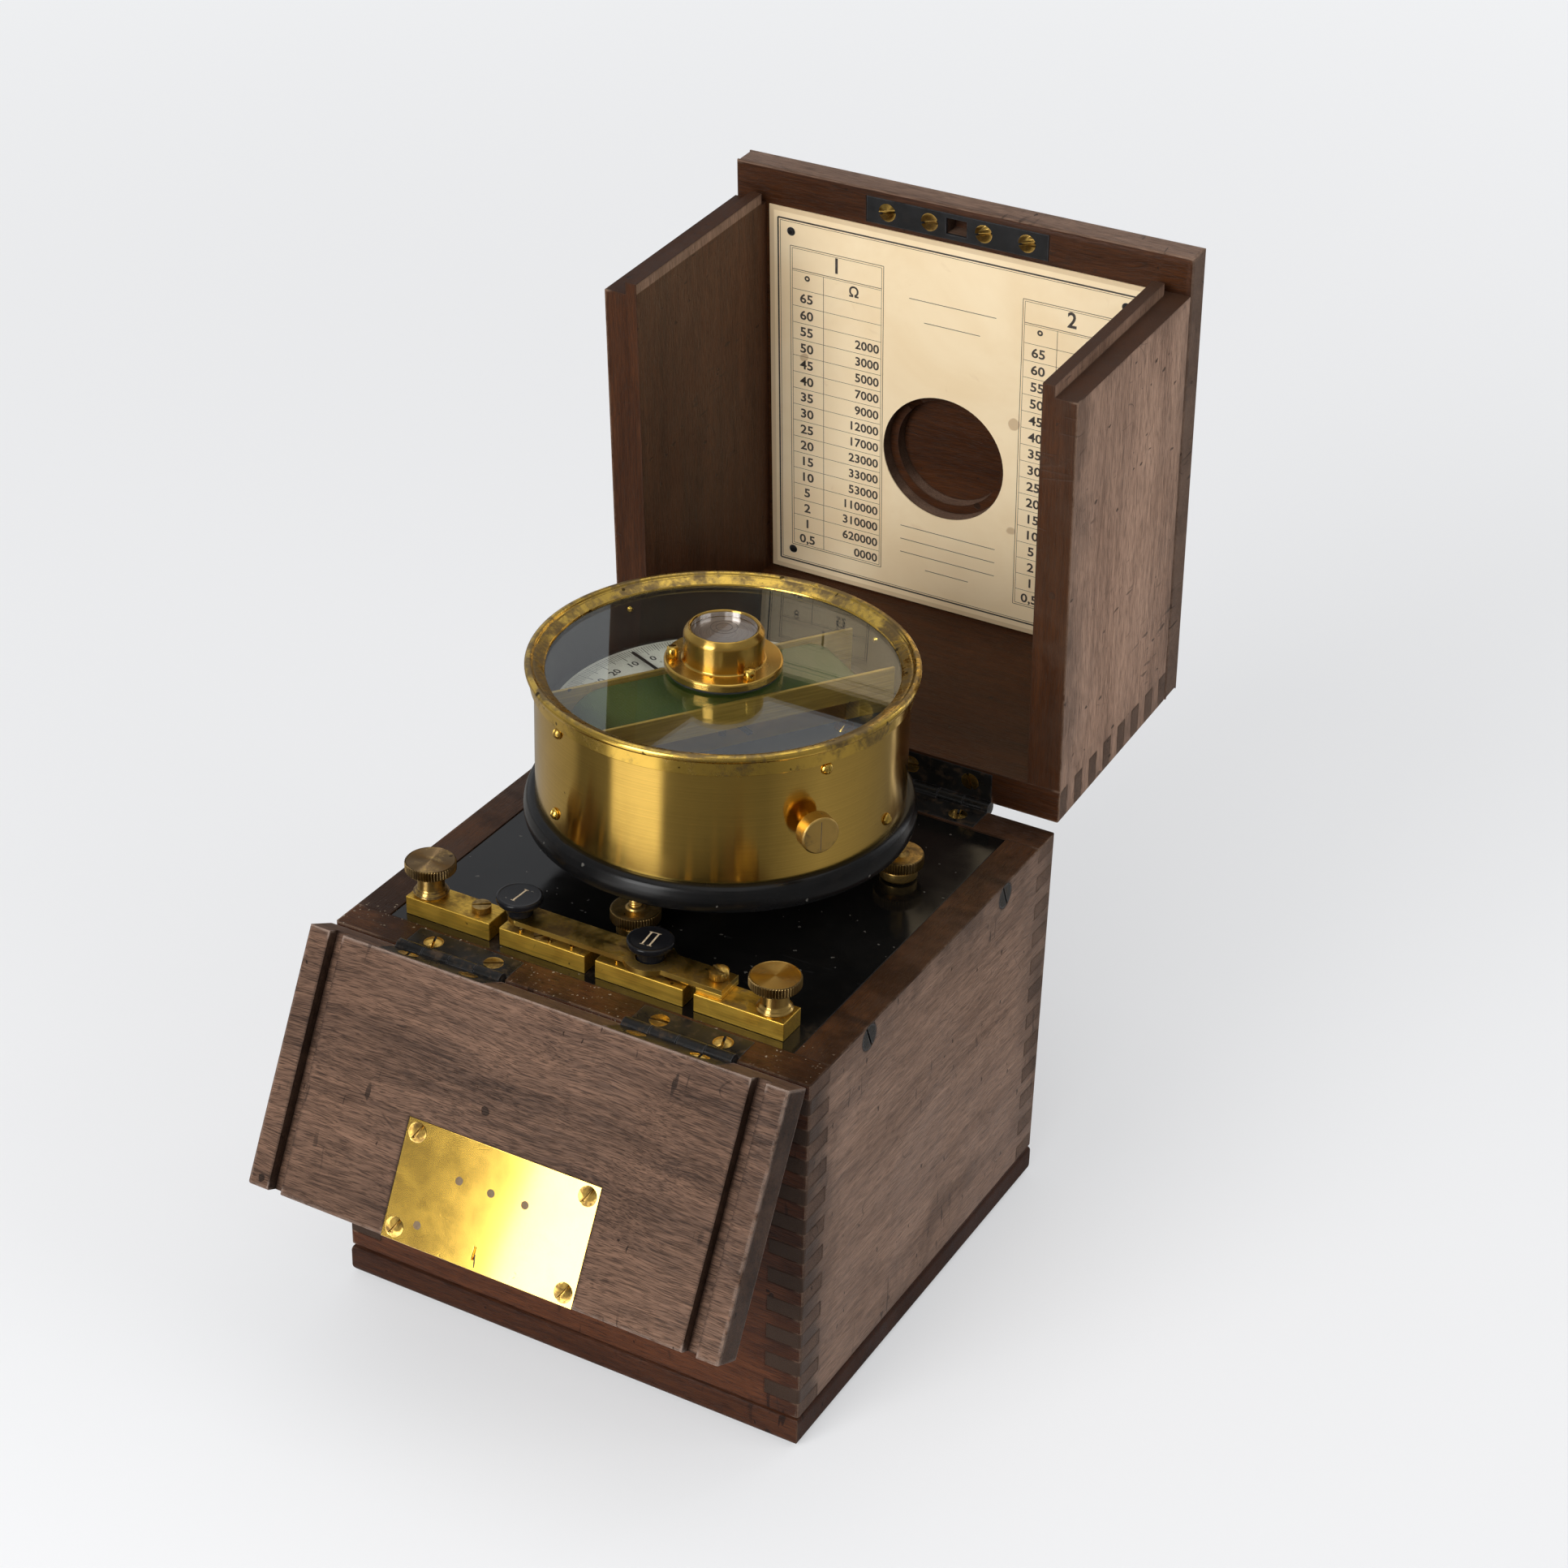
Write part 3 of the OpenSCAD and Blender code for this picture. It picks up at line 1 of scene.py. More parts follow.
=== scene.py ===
# Insulation tester: a Blender add-on that is run as a script over the packed CAD frame
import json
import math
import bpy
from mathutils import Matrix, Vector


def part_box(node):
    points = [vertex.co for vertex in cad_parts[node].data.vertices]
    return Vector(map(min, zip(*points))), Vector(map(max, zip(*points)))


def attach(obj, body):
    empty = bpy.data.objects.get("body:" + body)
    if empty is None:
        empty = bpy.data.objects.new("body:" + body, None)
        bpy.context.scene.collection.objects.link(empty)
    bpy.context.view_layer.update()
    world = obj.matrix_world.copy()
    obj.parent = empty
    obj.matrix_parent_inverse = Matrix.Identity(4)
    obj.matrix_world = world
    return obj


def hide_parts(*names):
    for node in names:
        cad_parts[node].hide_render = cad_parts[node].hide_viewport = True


bl_info = {
    "name": "Insulation tester",
    "version": (1, 0, 0),
    "blender": (4, 5, 0),
    "location": "3D View > Sidebar > Tester",
    "description": "Dresses the insulation tester with worn wood, brass, ebonite, knurls, print and winding",
    "category": "Add Mesh",
}

import bmesh
import bpy
import numpy as np
from bpy.props import FloatProperty, FloatVectorProperty, IntProperty, PointerProperty
from bpy.types import Operator, Panel, PropertyGroup
from mathutils import Matrix, Vector

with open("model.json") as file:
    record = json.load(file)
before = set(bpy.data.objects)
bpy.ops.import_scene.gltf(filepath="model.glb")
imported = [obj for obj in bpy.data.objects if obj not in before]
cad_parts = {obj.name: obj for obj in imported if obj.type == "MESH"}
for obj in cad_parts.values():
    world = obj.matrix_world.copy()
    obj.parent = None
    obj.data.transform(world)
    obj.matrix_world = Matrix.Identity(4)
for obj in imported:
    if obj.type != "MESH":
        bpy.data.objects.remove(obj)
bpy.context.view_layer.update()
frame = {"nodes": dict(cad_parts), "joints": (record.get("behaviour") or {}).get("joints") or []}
MM = 0.001

# Places, in millimetres


def shut_to_open(name):
    """Carries a shut lid or flap to its open rest pose: a turn about the joint by minus its shut value."""
    joint = next(j for j in frame["joints"] if j["name"] == name)
    pivot = Matrix.Translation(Vector(joint["pos_m"]))
    turn = Matrix.Rotation(-math.radians(joint["range_deg"][0]), 4, Vector(joint["axis"]))
    return pivot @ turn @ pivot.inverted()


def at(x, y, z):
    """Translation by millimetres."""
    return Matrix.Translation((x * MM, y * MM, z * MM))


def spun(degrees, axis="Z"):
    """Rotation about an axis through the origin."""
    return Matrix.Rotation(math.radians(degrees), 4, axis)


LID = shut_to_open("lid_hinge")
FLAP = shut_to_open("flap_hinge")
HERE = Matrix.Identity(4)
CASE_BOX = ((-80, -79, 0), (80, 79, 131))
LID_BOX = ((-80, -79, 131.4), (80, 79, 223.3))
FLAP_BOX = ((-80, -79, 131.4), (80, -67.5, 210.7))
FLAP_FACE = -67.5  # the flap's inner face, shut
CARD_FACE = 211.4  # the card's lower face, lid shut
AXIS = (1.0, 7.0)  # the galvanometer's middle
SCALE_TOP = 181.4
SCALE_REACH = 50.6
COIL_MIDDLE = 181.0
KNOB_HEIGHT = 177.4
KNOB_END = 64.35  # the arrest knob's end, from the axis
COIL_WAY = 56  # direction of the coil's length, in degrees
KNOB_WAY = -34  # direction of the arrest knob's stem, in degrees
KNURL_ROOT = 7.3  # radius beyond which dirt sits in the knurls of nuts and feet
BUTTON_Y = -58.0
NUT_Y = -59.0

# Meshes


def baked(piece):
    """A piece's evaluated mesh: its modifiers or letters worked in."""
    return bpy.data.meshes.new_from_object(piece.evaluated_get(bpy.context.evaluated_depsgraph_get()))


def shown(mesh, material, body, replaces=(), level=False):
    """Puts a finished mesh in the scene as one piece of its name that rides on a body. level keeps its wide
    faces evenly lit beside rounded edges."""
    piece = bpy.data.objects.new(mesh.name, mesh)
    bpy.context.scene.collection.objects.link(piece)
    mesh.materials.clear()
    mesh.materials.append(material)
    if level:
        even = piece.modifiers.new("flat faces", "WEIGHTED_NORMAL")
        even.keep_sharp = True
        even.weight = 90
        made = baked(piece)
        piece.modifiers.clear()
        piece.data = made
    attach(piece, body)
    if replaces:
        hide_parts(*replaces)


def tidy(bm, distance=1e-7):
    """Merges doubles, drops flat faces and turns every normal outwards."""
    bmesh.ops.remove_doubles(bm, verts=bm.verts, dist=distance)
    bmesh.ops.dissolve_degenerate(bm, edges=bm.edges, dist=distance)
    bmesh.ops.recalc_face_normals(bm, faces=bm.faces)


def reworked(mesh, step):
    """Runs a step on the mesh's bmesh form and writes it back."""
    bm = bmesh.new()
    bm.from_mesh(mesh)
    step(bm)
    bm.to_mesh(mesh)
    bm.free()
    return mesh


def joined(name, parts):
    """One mesh made of several."""
    bm = bmesh.new()
    for part in parts:
        bm.from_mesh(part)
    mesh = bpy.data.meshes.new(name)
    bm.to_mesh(mesh)
    bm.free()
    return mesh


def shade(mesh, angle):
    """Smooth shading with edges sharper than the angle kept crisp."""
    mesh.shade_smooth()
    mesh.set_sharp_from_angle(angle=math.radians(angle))


def mesh_of(name, points, faces, smooth=35):
    """A mesh from millimetre points and index faces, merged, closed and smooth below an angle in degrees."""
    mesh = bpy.data.meshes.new(name)
    mesh.from_pydata((np.asarray(points, float) * MM).tolist(), [], np.asarray(faces).tolist())
    shade(reworked(mesh, tidy), smooth)
    return mesh


def grid_faces(rows, columns, wrap_rows, wrap_columns):
    """Quads of a grid of points: quad (i, j) joins point (i, j) to its next row and column."""
    i = np.arange(rows if wrap_rows else rows - 1)[:, None]
    j = np.arange(columns if wrap_columns else columns - 1)[None, :]
    a = i * columns + j
    b = i * columns + (j + 1) % columns
    c = ((i + 1) % rows) * columns + (j + 1) % columns
    d = ((i + 1) % rows) * columns + j
    return np.stack([a, b, c, d], -1).reshape(-1, 4)


def rounded(corners, radius, samples=5, closed=True):
    """A profile with each corner B replaced by the curve (1-t)^2 A + 2t(1-t) B + t^2 C, where A and C lie a
    radius before and after it."""
    b = np.asarray(corners, float)
    before = np.roll(b, 1, 0) - b
    after = np.roll(b, -1, 0) - b
    size = np.broadcast_to(np.asarray(radius, float), len(b)).copy()
    if not closed:
        size[0] = 0
        size[-1] = 0
    reach_a = np.maximum(np.linalg.norm(before, axis=1), 1e-9)
    reach_c = np.maximum(np.linalg.norm(after, axis=1), 1e-9)
    size = np.minimum(size, 0.48 * np.minimum(reach_a, reach_c))
    a = b + before * (size / reach_a)[:, None]
    c = b + after * (size / reach_c)[:, None]
    t = np.linspace(0, 1, samples)[None, :, None]
    curve = (1 - t) ** 2 * a[:, None] + 2 * t * (1 - t) * b[:, None] + t**2 * c[:, None]
    return curve.reshape(-1, 2)


def round_about(name, r, a, z, centre, closed, smooth):
    """The surface of points centre + r (cos a, sin a), z, over rows of z and columns of a."""
    points = np.stack([centre[0] + r * np.cos(a), centre[1] + r * np.sin(a), z + 0 * a], -1)
    faces = grid_faces(len(z), a.shape[1], closed, True)
    return mesh_of(name, points.reshape(-1, 3), faces, smooth)


def turned(name, profile, steps=160, closed=True, centre=(0, 0), knurl=None, smooth=35):
    """Surface of revolution of a profile r(t), z(t) about centre. knurl = (low, high, teeth, depth) cuts V
    grooves between the two heights: r is less by depth |sin(teeth a / 2)|."""
    profile = np.asarray(profile, float)
    r, z = profile[:, :1], profile[:, 1:]
    a = np.linspace(0, 2 * math.pi, steps, endpoint=False)[None, :]
    if knurl:
        low, high, teeth, depth = knurl
        ramp = ((z > low) & (z < high)) * (r > 0.8 * r.max())
        r = r - depth * ramp * np.abs(np.sin(teeth * a / 2))
    else:
        r = r + 0 * a
    return round_about(name, r, a, z, centre, closed, smooth)


def threaded(name, radius, depth, pitch, low, high, centre, steps=24, per_turn=6):
    """A screw thread: r = radius - depth |2 f - 1|, where f is the fraction of z / pitch - a / 2 pi."""
    rows = max(8, int((high - low) / pitch * per_turn))
    z = np.linspace(low, high, rows)[:, None]
    a = np.linspace(0, 2 * math.pi, steps, endpoint=False)[None, :]
    f = (z / pitch - a / (2 * math.pi)) % 1
    r = radius - depth * np.abs(2 * f - 1)
    r[0] = 0
    r[-1] = 0
    return round_about(name, r, a, z, centre, False, 60)


def flat_bars(name, segments, width, matrix, low=-0.02, high=0.03):
    """Ruled lines: each row x0, y0, x1, y1 becomes a thin bar of that width, then goes to its place by the
    matrix. Corner k of a bar is its centre plus +-half lengths along its own three axes."""
    s = np.asarray(segments, float)
    width = np.broadcast_to(np.asarray(width, float), len(s))
    run = s[:, 2:] - s[:, :2]
    length = np.linalg.norm(run, axis=1)
    u = run / length[:, None]
    zero = np.zeros(len(s))
    ways = np.stack(
        [
            np.stack([u[:, 0], u[:, 1], zero], 1),
            np.stack([-u[:, 1], u[:, 0], zero], 1),
            np.stack([zero, zero, zero + 1], 1),
        ],
        1,
    )
    middle = (s[:, :2] + s[:, 2:]) / 2
    centres = np.stack([middle[:, 0], middle[:, 1], zero + (low + high) / 2], 1)
    halves = np.stack([length / 2, width / 2, zero + (high - low) / 2], 1)
    signs = np.array([[x, y, z] for x in (-1, 1) for y in (-1, 1) for z in (-1, 1)], float)
    points = centres[:, None] + np.einsum("ks,isd->ikd", signs, ways * halves[:, :, None])
    quads = np.array([[0, 1, 3, 2], [4, 6, 7, 5], [0, 4, 5, 1], [2, 3, 7, 6], [0, 2, 6, 4], [1, 5, 7, 3]])
    faces = quads[None] + 8 * np.arange(len(s))[:, None, None]
    mesh = mesh_of(name, points.reshape(-1, 3), faces.reshape(-1, 4), 30)
    mesh.transform(matrix)
    return mesh


def lettered(name, lines, matrix):
    """Plain numbers as one mesh: each line is (text, x, y, turn, size, align, width), laid flat and carried
    by the matrix."""
    bm = bmesh.new()
    for text, x, y, turn, size, align, width in lines:
        curve = bpy.data.curves.new(name, "FONT")
        curve.body = text
        curve.size = size * MM
        curve.align_x = align
        curve.align_y = "CENTER"
        curve.extrude = 0.025 * MM
        curve.offset = 0.02 * size * MM
        curve.resolution_u = 3
        carrier = bpy.data.objects.new(name, curve)
        bpy.context.scene.collection.objects.link(carrier)
        bpy.context.view_layer.update()
        letters = baked(carrier)
        bpy.data.objects.remove(carrier)
        place = at(x, y, 0) @ Matrix.Rotation(turn, 4, "Z")
        letters.transform(matrix @ place @ Matrix.Diagonal((width, 1, 1, 1)))
        bm.from_mesh(letters)
        bpy.data.meshes.remove(letters)
    mesh = bpy.data.meshes.new(name)
    tidy(bm, 1e-8)
    bm.to_mesh(mesh)
    bm.free()
    return mesh


def long_edges(bm):
    """Sharp edges long enough to be rounded."""
    pairs = (e for e in bm.edges if len(e.link_faces) == 2)
    return [e for e in pairs if e.calc_length() > 0.003 and e.calc_face_angle(0) > 0.9]


def on_box(edge, back, box):
    """True where an edge, carried back to the shut pose, lies along an edge of the box, apart from the rims
    that meet when the lid is shut."""
    p, q = (back @ v.co for v in edge.verts)
    if all(130.8 * MM < v.z < 131.6 * MM for v in (p, q)):
        return False
    faces = [(p[k], q[k], c[k] * MM) for c in box for k in range(3)]
    return sum(abs(a - c) < 6e-5 and abs(b - c) < 6e-5 for a, b, c in faces) >= 2


def rounded_edges(bm, edges, width):
    """Bevels those edges by a width in millimetres."""
    if edges and width:
        bmesh.ops.bevel(
            bm, geom=edges, offset=width * MM, offset_type="OFFSET", segments=3, profile=0.5,
            affect="EDGES", clamp_overlap=True,
        )


def dressed(node, material, body, bevel=0.0, outer=0.0, box=None, matrix=HERE):
    """A merged copy of a CAD node that stands for it. Long sharp edges get a bevel in millimetres, and those
    along the edges of the shut box get the larger outer one."""

    def step(bm):
        bmesh.ops.remove_doubles(bm, verts=bm.verts, dist=2e-6)
        if bevel:
            bmesh.ops.dissolve_limit(bm, angle_limit=0.005, verts=bm.verts, edges=bm.edges)
            if box:
                back = matrix.inverted()
                rounded_edges(bm, [e for e in long_edges(bm) if on_box(e, back, box)], outer)
            rounded_edges(bm, long_edges(bm), bevel)

    mesh = frame["nodes"][node].data.copy()
    mesh.name = node + "_worn"
    shade(reworked(mesh, step), 35)
    shown(mesh, material, body, (node,), bool(bevel))


def painted(material, *nodes):
    """CAD nodes whose shape is right take a finish as they are."""
    for node in nodes:
        mesh = frame["nodes"][node].data
        mesh.materials.clear()
        mesh.materials.append(material)


# Shader nodes


class Graph:
    """Adds nodes to one tree, and links or sets their sockets."""

    def __init__(self, tree):
        self.tree = tree

    def put(self, socket, value):
        if isinstance(value, bpy.types.NodeSocket):
            self.tree.links.new(value, socket)
        elif value is not None:
            held = socket.default_value
            if hasattr(held, "__len__") and len(held) == 4 and len(value) == 3:
                value = (*value, 1.0)
            socket.default_value = value

    def fill(self, shader, **values):
        """Sets or links the sockets named, with underscores for spaces."""
        for key, value in values.items():
            self.put(shader.inputs[key.replace("_", " ")], value)

    def add(self, kind, sockets=None, **settings):
        node = self.tree.nodes.new("ShaderNode" + kind)
        for key, value in settings.items():
            setattr(node, key, value)
        for key, value in (sockets or {}).items():
            self.put(node.inputs[key], value)
        return node

    def math(self, operation, a, b=0.0, clamp=False):
        return self.add("Math", {0: a, 1: b}, operation=operation, use_clamp=clamp).outputs[0]

    def plus(self, a, b, clamp=False):
        return self.math("ADD", a, b, clamp)

    def minus(self, a, b):
        return self.math("SUBTRACT", a, b)

    def times(self, a, b, clamp=False):
        return self.math("MULTIPLY", a, b, clamp)

    def most(self, first, *rest):
        for value in rest:
            first = self.math("MAXIMUM", first, value)
        return first

    def two_of(self, values):
        """High where at least two of three values are."""
        return self.most(*(self.math("MINIMUM", values[a], values[b]) for a, b in ((0, 1), (1, 2), (0, 2))))

    def vector(self, operation, a, b=None, output=0):
        return self.add("VectorMath", {0: a, 1: b}, operation=operation).outputs[output]

    def scaled(self, vector, factor):
        return self.add("VectorMath", {0: vector, "Scale": factor}, operation="SCALE").outputs[0]

    def parts(self, vector):
        return self.add("SeparateXYZ", {0: vector}).outputs

    def reach(self, vector):
        """Distance from the Z axis."""
        return self.vector("LENGTH", self.vector("MULTIPLY", vector, (1, 1, 0)), output="Value")

    def past_box(self, vector, centre, half):
        """How far a point lies past each pair of a box's faces: |p - centre| - half."""
        away = self.vector("ABSOLUTE", self.vector("SUBTRACT", vector, centre))
        return self.parts(self.vector("SUBTRACT", away, half))

    def span(self, value, low, high, out_low=0.0, out_high=1.0):
        sockets = {"Value": value, "From Min": low, "From Max": high, "To Min": out_low, "To Max": out_high}
        return self.add("MapRange", sockets, interpolation_type="SMOOTHSTEP").outputs[0]

    def blend(self, factor, a, b):
        return self.add("Mix", {0: factor, 6: a, 7: b}, data_type="RGBA").outputs[2]

    def noise(self, vector, scale, detail=2.0, rough=0.5, warp=0.0):
        sockets = {"Vector": vector, "Scale": scale, "Detail": detail, "Roughness": rough, "Distortion": warp}
        return self.add("TexNoise", sockets).outputs["Fac"]

    def mapped(self, vector, kind="POINT", **sockets):
        return self.add("Mapping", {"Vector": vector, **sockets}, vector_type=kind).outputs[0]

    def stretch(self, vector, x, y, z):
        return self.mapped(vector, Scale=(x, y, z))

    def over(self, colour, *marks):
        """Lays each (mask, amount, tone) over a colour in turn."""
        for mask, amount, tone in marks:
            colour = self.blend(self.times(mask, amount), colour, tone)
        return colour

    def bump(self, shader, height, distance, strength):
        """Feeds a height to the shader's normal."""
        node = self.add("Bump", {"Height": height, "Distance": distance, "Strength": strength})
        self.put(shader.inputs["Normal"], node.outputs["Normal"])


def grouped(name, inputs, outputs=("Mask",)):
    """Turns a builder into a function that places its node group, which is made once. inputs are names with
    defaults: None or three numbers for a vector, four for a colour, one for a value."""

    def kind(default):
        if isinstance(default, float):
            return "NodeSocketFloat"
        return "NodeSocketColor" if default and len(default) == 4 else "NodeSocketVector"

    def make(build):
        tree = bpy.data.node_groups.new(name, "ShaderNodeTree")
        for label, default in inputs.items():
            socket = tree.interface.new_socket(name=label, in_out="INPUT", socket_type=kind(default))
            if default is not None:
                socket.default_value = default
        for label in outputs:
            form = "NodeSocketColor" if label == "Color" else "NodeSocketFloat"
            tree.interface.new_socket(name=label, in_out="OUTPUT", socket_type=form)
        g = Graph(tree)
        source = tree.nodes.new("NodeGroupInput")
        sink = tree.nodes.new("NodeGroupOutput")
        made = build(g, *(source.outputs[label] for label in inputs))
        for label, value in zip(outputs, made if isinstance(made, tuple) else (made,)):
            g.put(sink.inputs[label], value)
        return tree

    def wrap(build):
        def place(g, *values):
            node = g.add("Group", node_tree=bpy.data.node_groups.get(name) or make(build))
            for label, value in zip(inputs, values):
                g.put(node.inputs[label], value)
            return node.outputs[0] if len(outputs) == 1 else node.outputs

        place.__doc__ = build.__doc__
        return place

    return wrap


@grouped("edge wear", {"Vector": None, "Radius": 0.001})
def edge_wear(g, vector, radius):
    """Mask of worn edges: where the normal rounded over Radius leaves the surface's own, broken by noise."""
    soft = g.add("Bevel", {"Radius": radius}, samples=4).outputs[0]
    normal = g.add("NewGeometry").outputs["Normal"]
    bend = g.minus(1.0, g.vector("DOT_PRODUCT", soft, normal, "Value"))
    rough = g.noise(vector, 260.0, 3.0, 0.6)
    return g.span(g.times(bend, g.span(rough, 0.3, 0.62, 0.2, 2.2)), 0.03, 0.16)


@grouped("box mask", {"Vector": None, "Centre": (0, 0, 0), "Half": (1, 1, 1)})
def box_mask(g, vector, centre, half):
    """Mask of a box: 1 where every |p - centre| is below its half length."""
    return g.span(g.most(*g.past_box(vector, centre, half)), -0.0002, 0.0002, 1.0, 0.0)


@grouped("outer edges", {"Vector": None, "Centre": (0, 0, 0), "Half": (1, 1, 1)})
def outer_edges(g, vector, centre, half):
    """Mask of a box's twelve edges: 1 where a point lies near two of the box's faces at once."""
    return g.two_of([g.span(past, -0.0035, -0.0012) for past in g.past_box(vector, centre, half)])


@grouped("scratches", {"Vector": None, "Scale": 60.0, "Amount": 1.0})
def scratches(g, vector, scale, amount):
    """Thin broken lines: the middle contours of two stretched noises, kept only in patches."""
    lines = 0.0
    for turn, stretch in ((0.5, 0.16), (-0.9, 0.22)):
        v = g.mapped(vector, Rotation=(turn, turn * 0.7, turn), Scale=(stretch, 1, 1))
        n = g.noise(v, scale, 1.0, 0.4, 0.3)
        lines = g.most(g.span(g.math("ABSOLUTE", g.minus(n, 0.5)), 0.0, 0.005, 1.0, 0.0), lines)
    patch = g.span(g.noise(vector, g.times(scale, 1.3), 3.0, 0.7), 0.56, 0.62)
    return g.times(g.times(lines, patch), amount, True)


@grouped("specks", {"Vector": None, "Scale": 300.0, "Amount": 0.1})
def specks(g, vector, scale, amount):
    """Scattered specks: cells whose random value passes Amount, drawn as small uneven dots."""
    warp = g.add("TexNoise", {"Vector": vector, "Scale": g.times(scale, 1.7), "Detail": 1.0})
    v = g.vector("ADD", vector, g.scaled(warp.outputs["Color"], 0.0012))
    cells = g.add("TexVoronoi", {"Vector": v, "Scale": scale, "Randomness": 1.0})
    chance = g.parts(cells.outputs["Color"])[0]
    least = g.minus(1.0, amount)
    size = g.span(chance, least, 1.0, 0.0, 0.34)
    dot = g.span(g.minus(size, cells.outputs["Distance"]), 0.0, 0.06)
    return g.times(dot, g.math("GREATER_THAN", chance, least))


@grouped(
    "hardwood grain",
    {
        "Vector": None, "Normal": None, "Light": (0.2, 0.12, 0.08, 1), "Dark": (0.1, 0.05, 0.03, 1),
        "Pore": (0.03, 0.015, 0.01, 1), "Wave": 0.004, "Pores": 0.8, "End": 0.6,
    },
    ("Color", "Roughness", "Height"),
)
def hardwood(g, vector, normal, light, dark, pore_tone, wave, pores, end_tone):
    """Open-pored hardwood. Vector runs with the grain along X. Broad bands, fine streaks and short dark pores
    are noises drawn out along X, and End darkens the end grain."""
    drift = g.add("TexNoise", {"Vector": g.stretch(vector, 14, 30, 30), "Scale": 1.0, "Detail": 2.0})
    drift = g.vector("ADD", drift.outputs["Color"], (-0.5, -0.5, -0.5))
    v = g.vector("ADD", vector, g.scaled(drift, wave))
    band = g.noise(g.stretch(v, 6, 60, 60), 1.0, 3.0, 0.55, 0.2)
    streak = g.noise(g.stretch(v, 22, 420, 420), 1.0, 3.0, 0.65)
    fibre = g.noise(g.stretch(v, 130, 2600, 2600), 1.0, 2.0, 0.6)
    pore = g.noise(g.stretch(v, 210, 4200, 4200), 1.0, 1.0, 0.5)
    pore = g.times(g.span(pore, 0.5, 0.66), pores)
    end = g.span(g.math("ABSOLUTE", g.parts(normal)[0]), 0.6, 0.85)
    tone = g.plus(g.span(band, 0.3, 0.7, 0.0, 0.4), g.span(streak, 0.3, 0.7, 0.0, 0.35), True)
    tone = g.plus(tone, g.span(fibre, 0.32, 0.68, -0.05, 0.3), True)
    colour = g.over(g.blend(tone, dark, light), (pore, 0.6, pore_tone), (end, end_tone, pore_tone))
    rough = g.plus(g.span(streak, 0.2, 0.8, 0.0, 0.1), g.times(end, 0.12))
    return colour, rough, g.minus(g.times(fibre, 0.4), pore)


@grouped("patina", {"Vector": None, "Scale": 60.0, "Amount": 0.3}, ("Mask", "Cloud"))
def tarnish(g, vector, scale, amount):
    """Tarnish on metal: cloudy noise and fine grain, pushed to patches by Amount."""
    cloud = g.noise(vector, scale, 5.0, 0.62, 0.6)
    fine = g.noise(vector, g.times(scale, 7.0), 3.0, 0.6)
    both = g.plus(g.times(cloud, 0.75), g.times(fine, 0.25))
    edge = g.minus(0.78, g.times(amount, 0.56))
    return g.span(both, g.minus(edge, 0.1), g.plus(edge, 0.1)), cloud


def material(name, build):
    """A material made once. build(graph, principled, object coordinates, object normal) fills its sockets."""
    made = bpy.data.materials.get(name)
    if made:
        return made
    made = bpy.data.materials.new(name)
    made.use_nodes = True
    g = Graph(made.node_tree)
    where = g.add("TexCoord").outputs
    build(g, made.node_tree.nodes["Principled BSDF"], where["Object"], where["Normal"])
    return made


def toned(colour, factor):
    """A colour times a factor."""
    return [c * factor for c in colour]


def carried_back(g, vector, normal, matrix):
    """Coordinates and normal carried back by a pose matrix, with Mapping nodes."""
    back = matrix.inverted()
    turn = back.to_euler("XYZ")
    place = g.mapped(vector, Rotation=turn, Location=back.to_translation())
    return place, g.mapped(normal, "VECTOR", Rotation=turn)


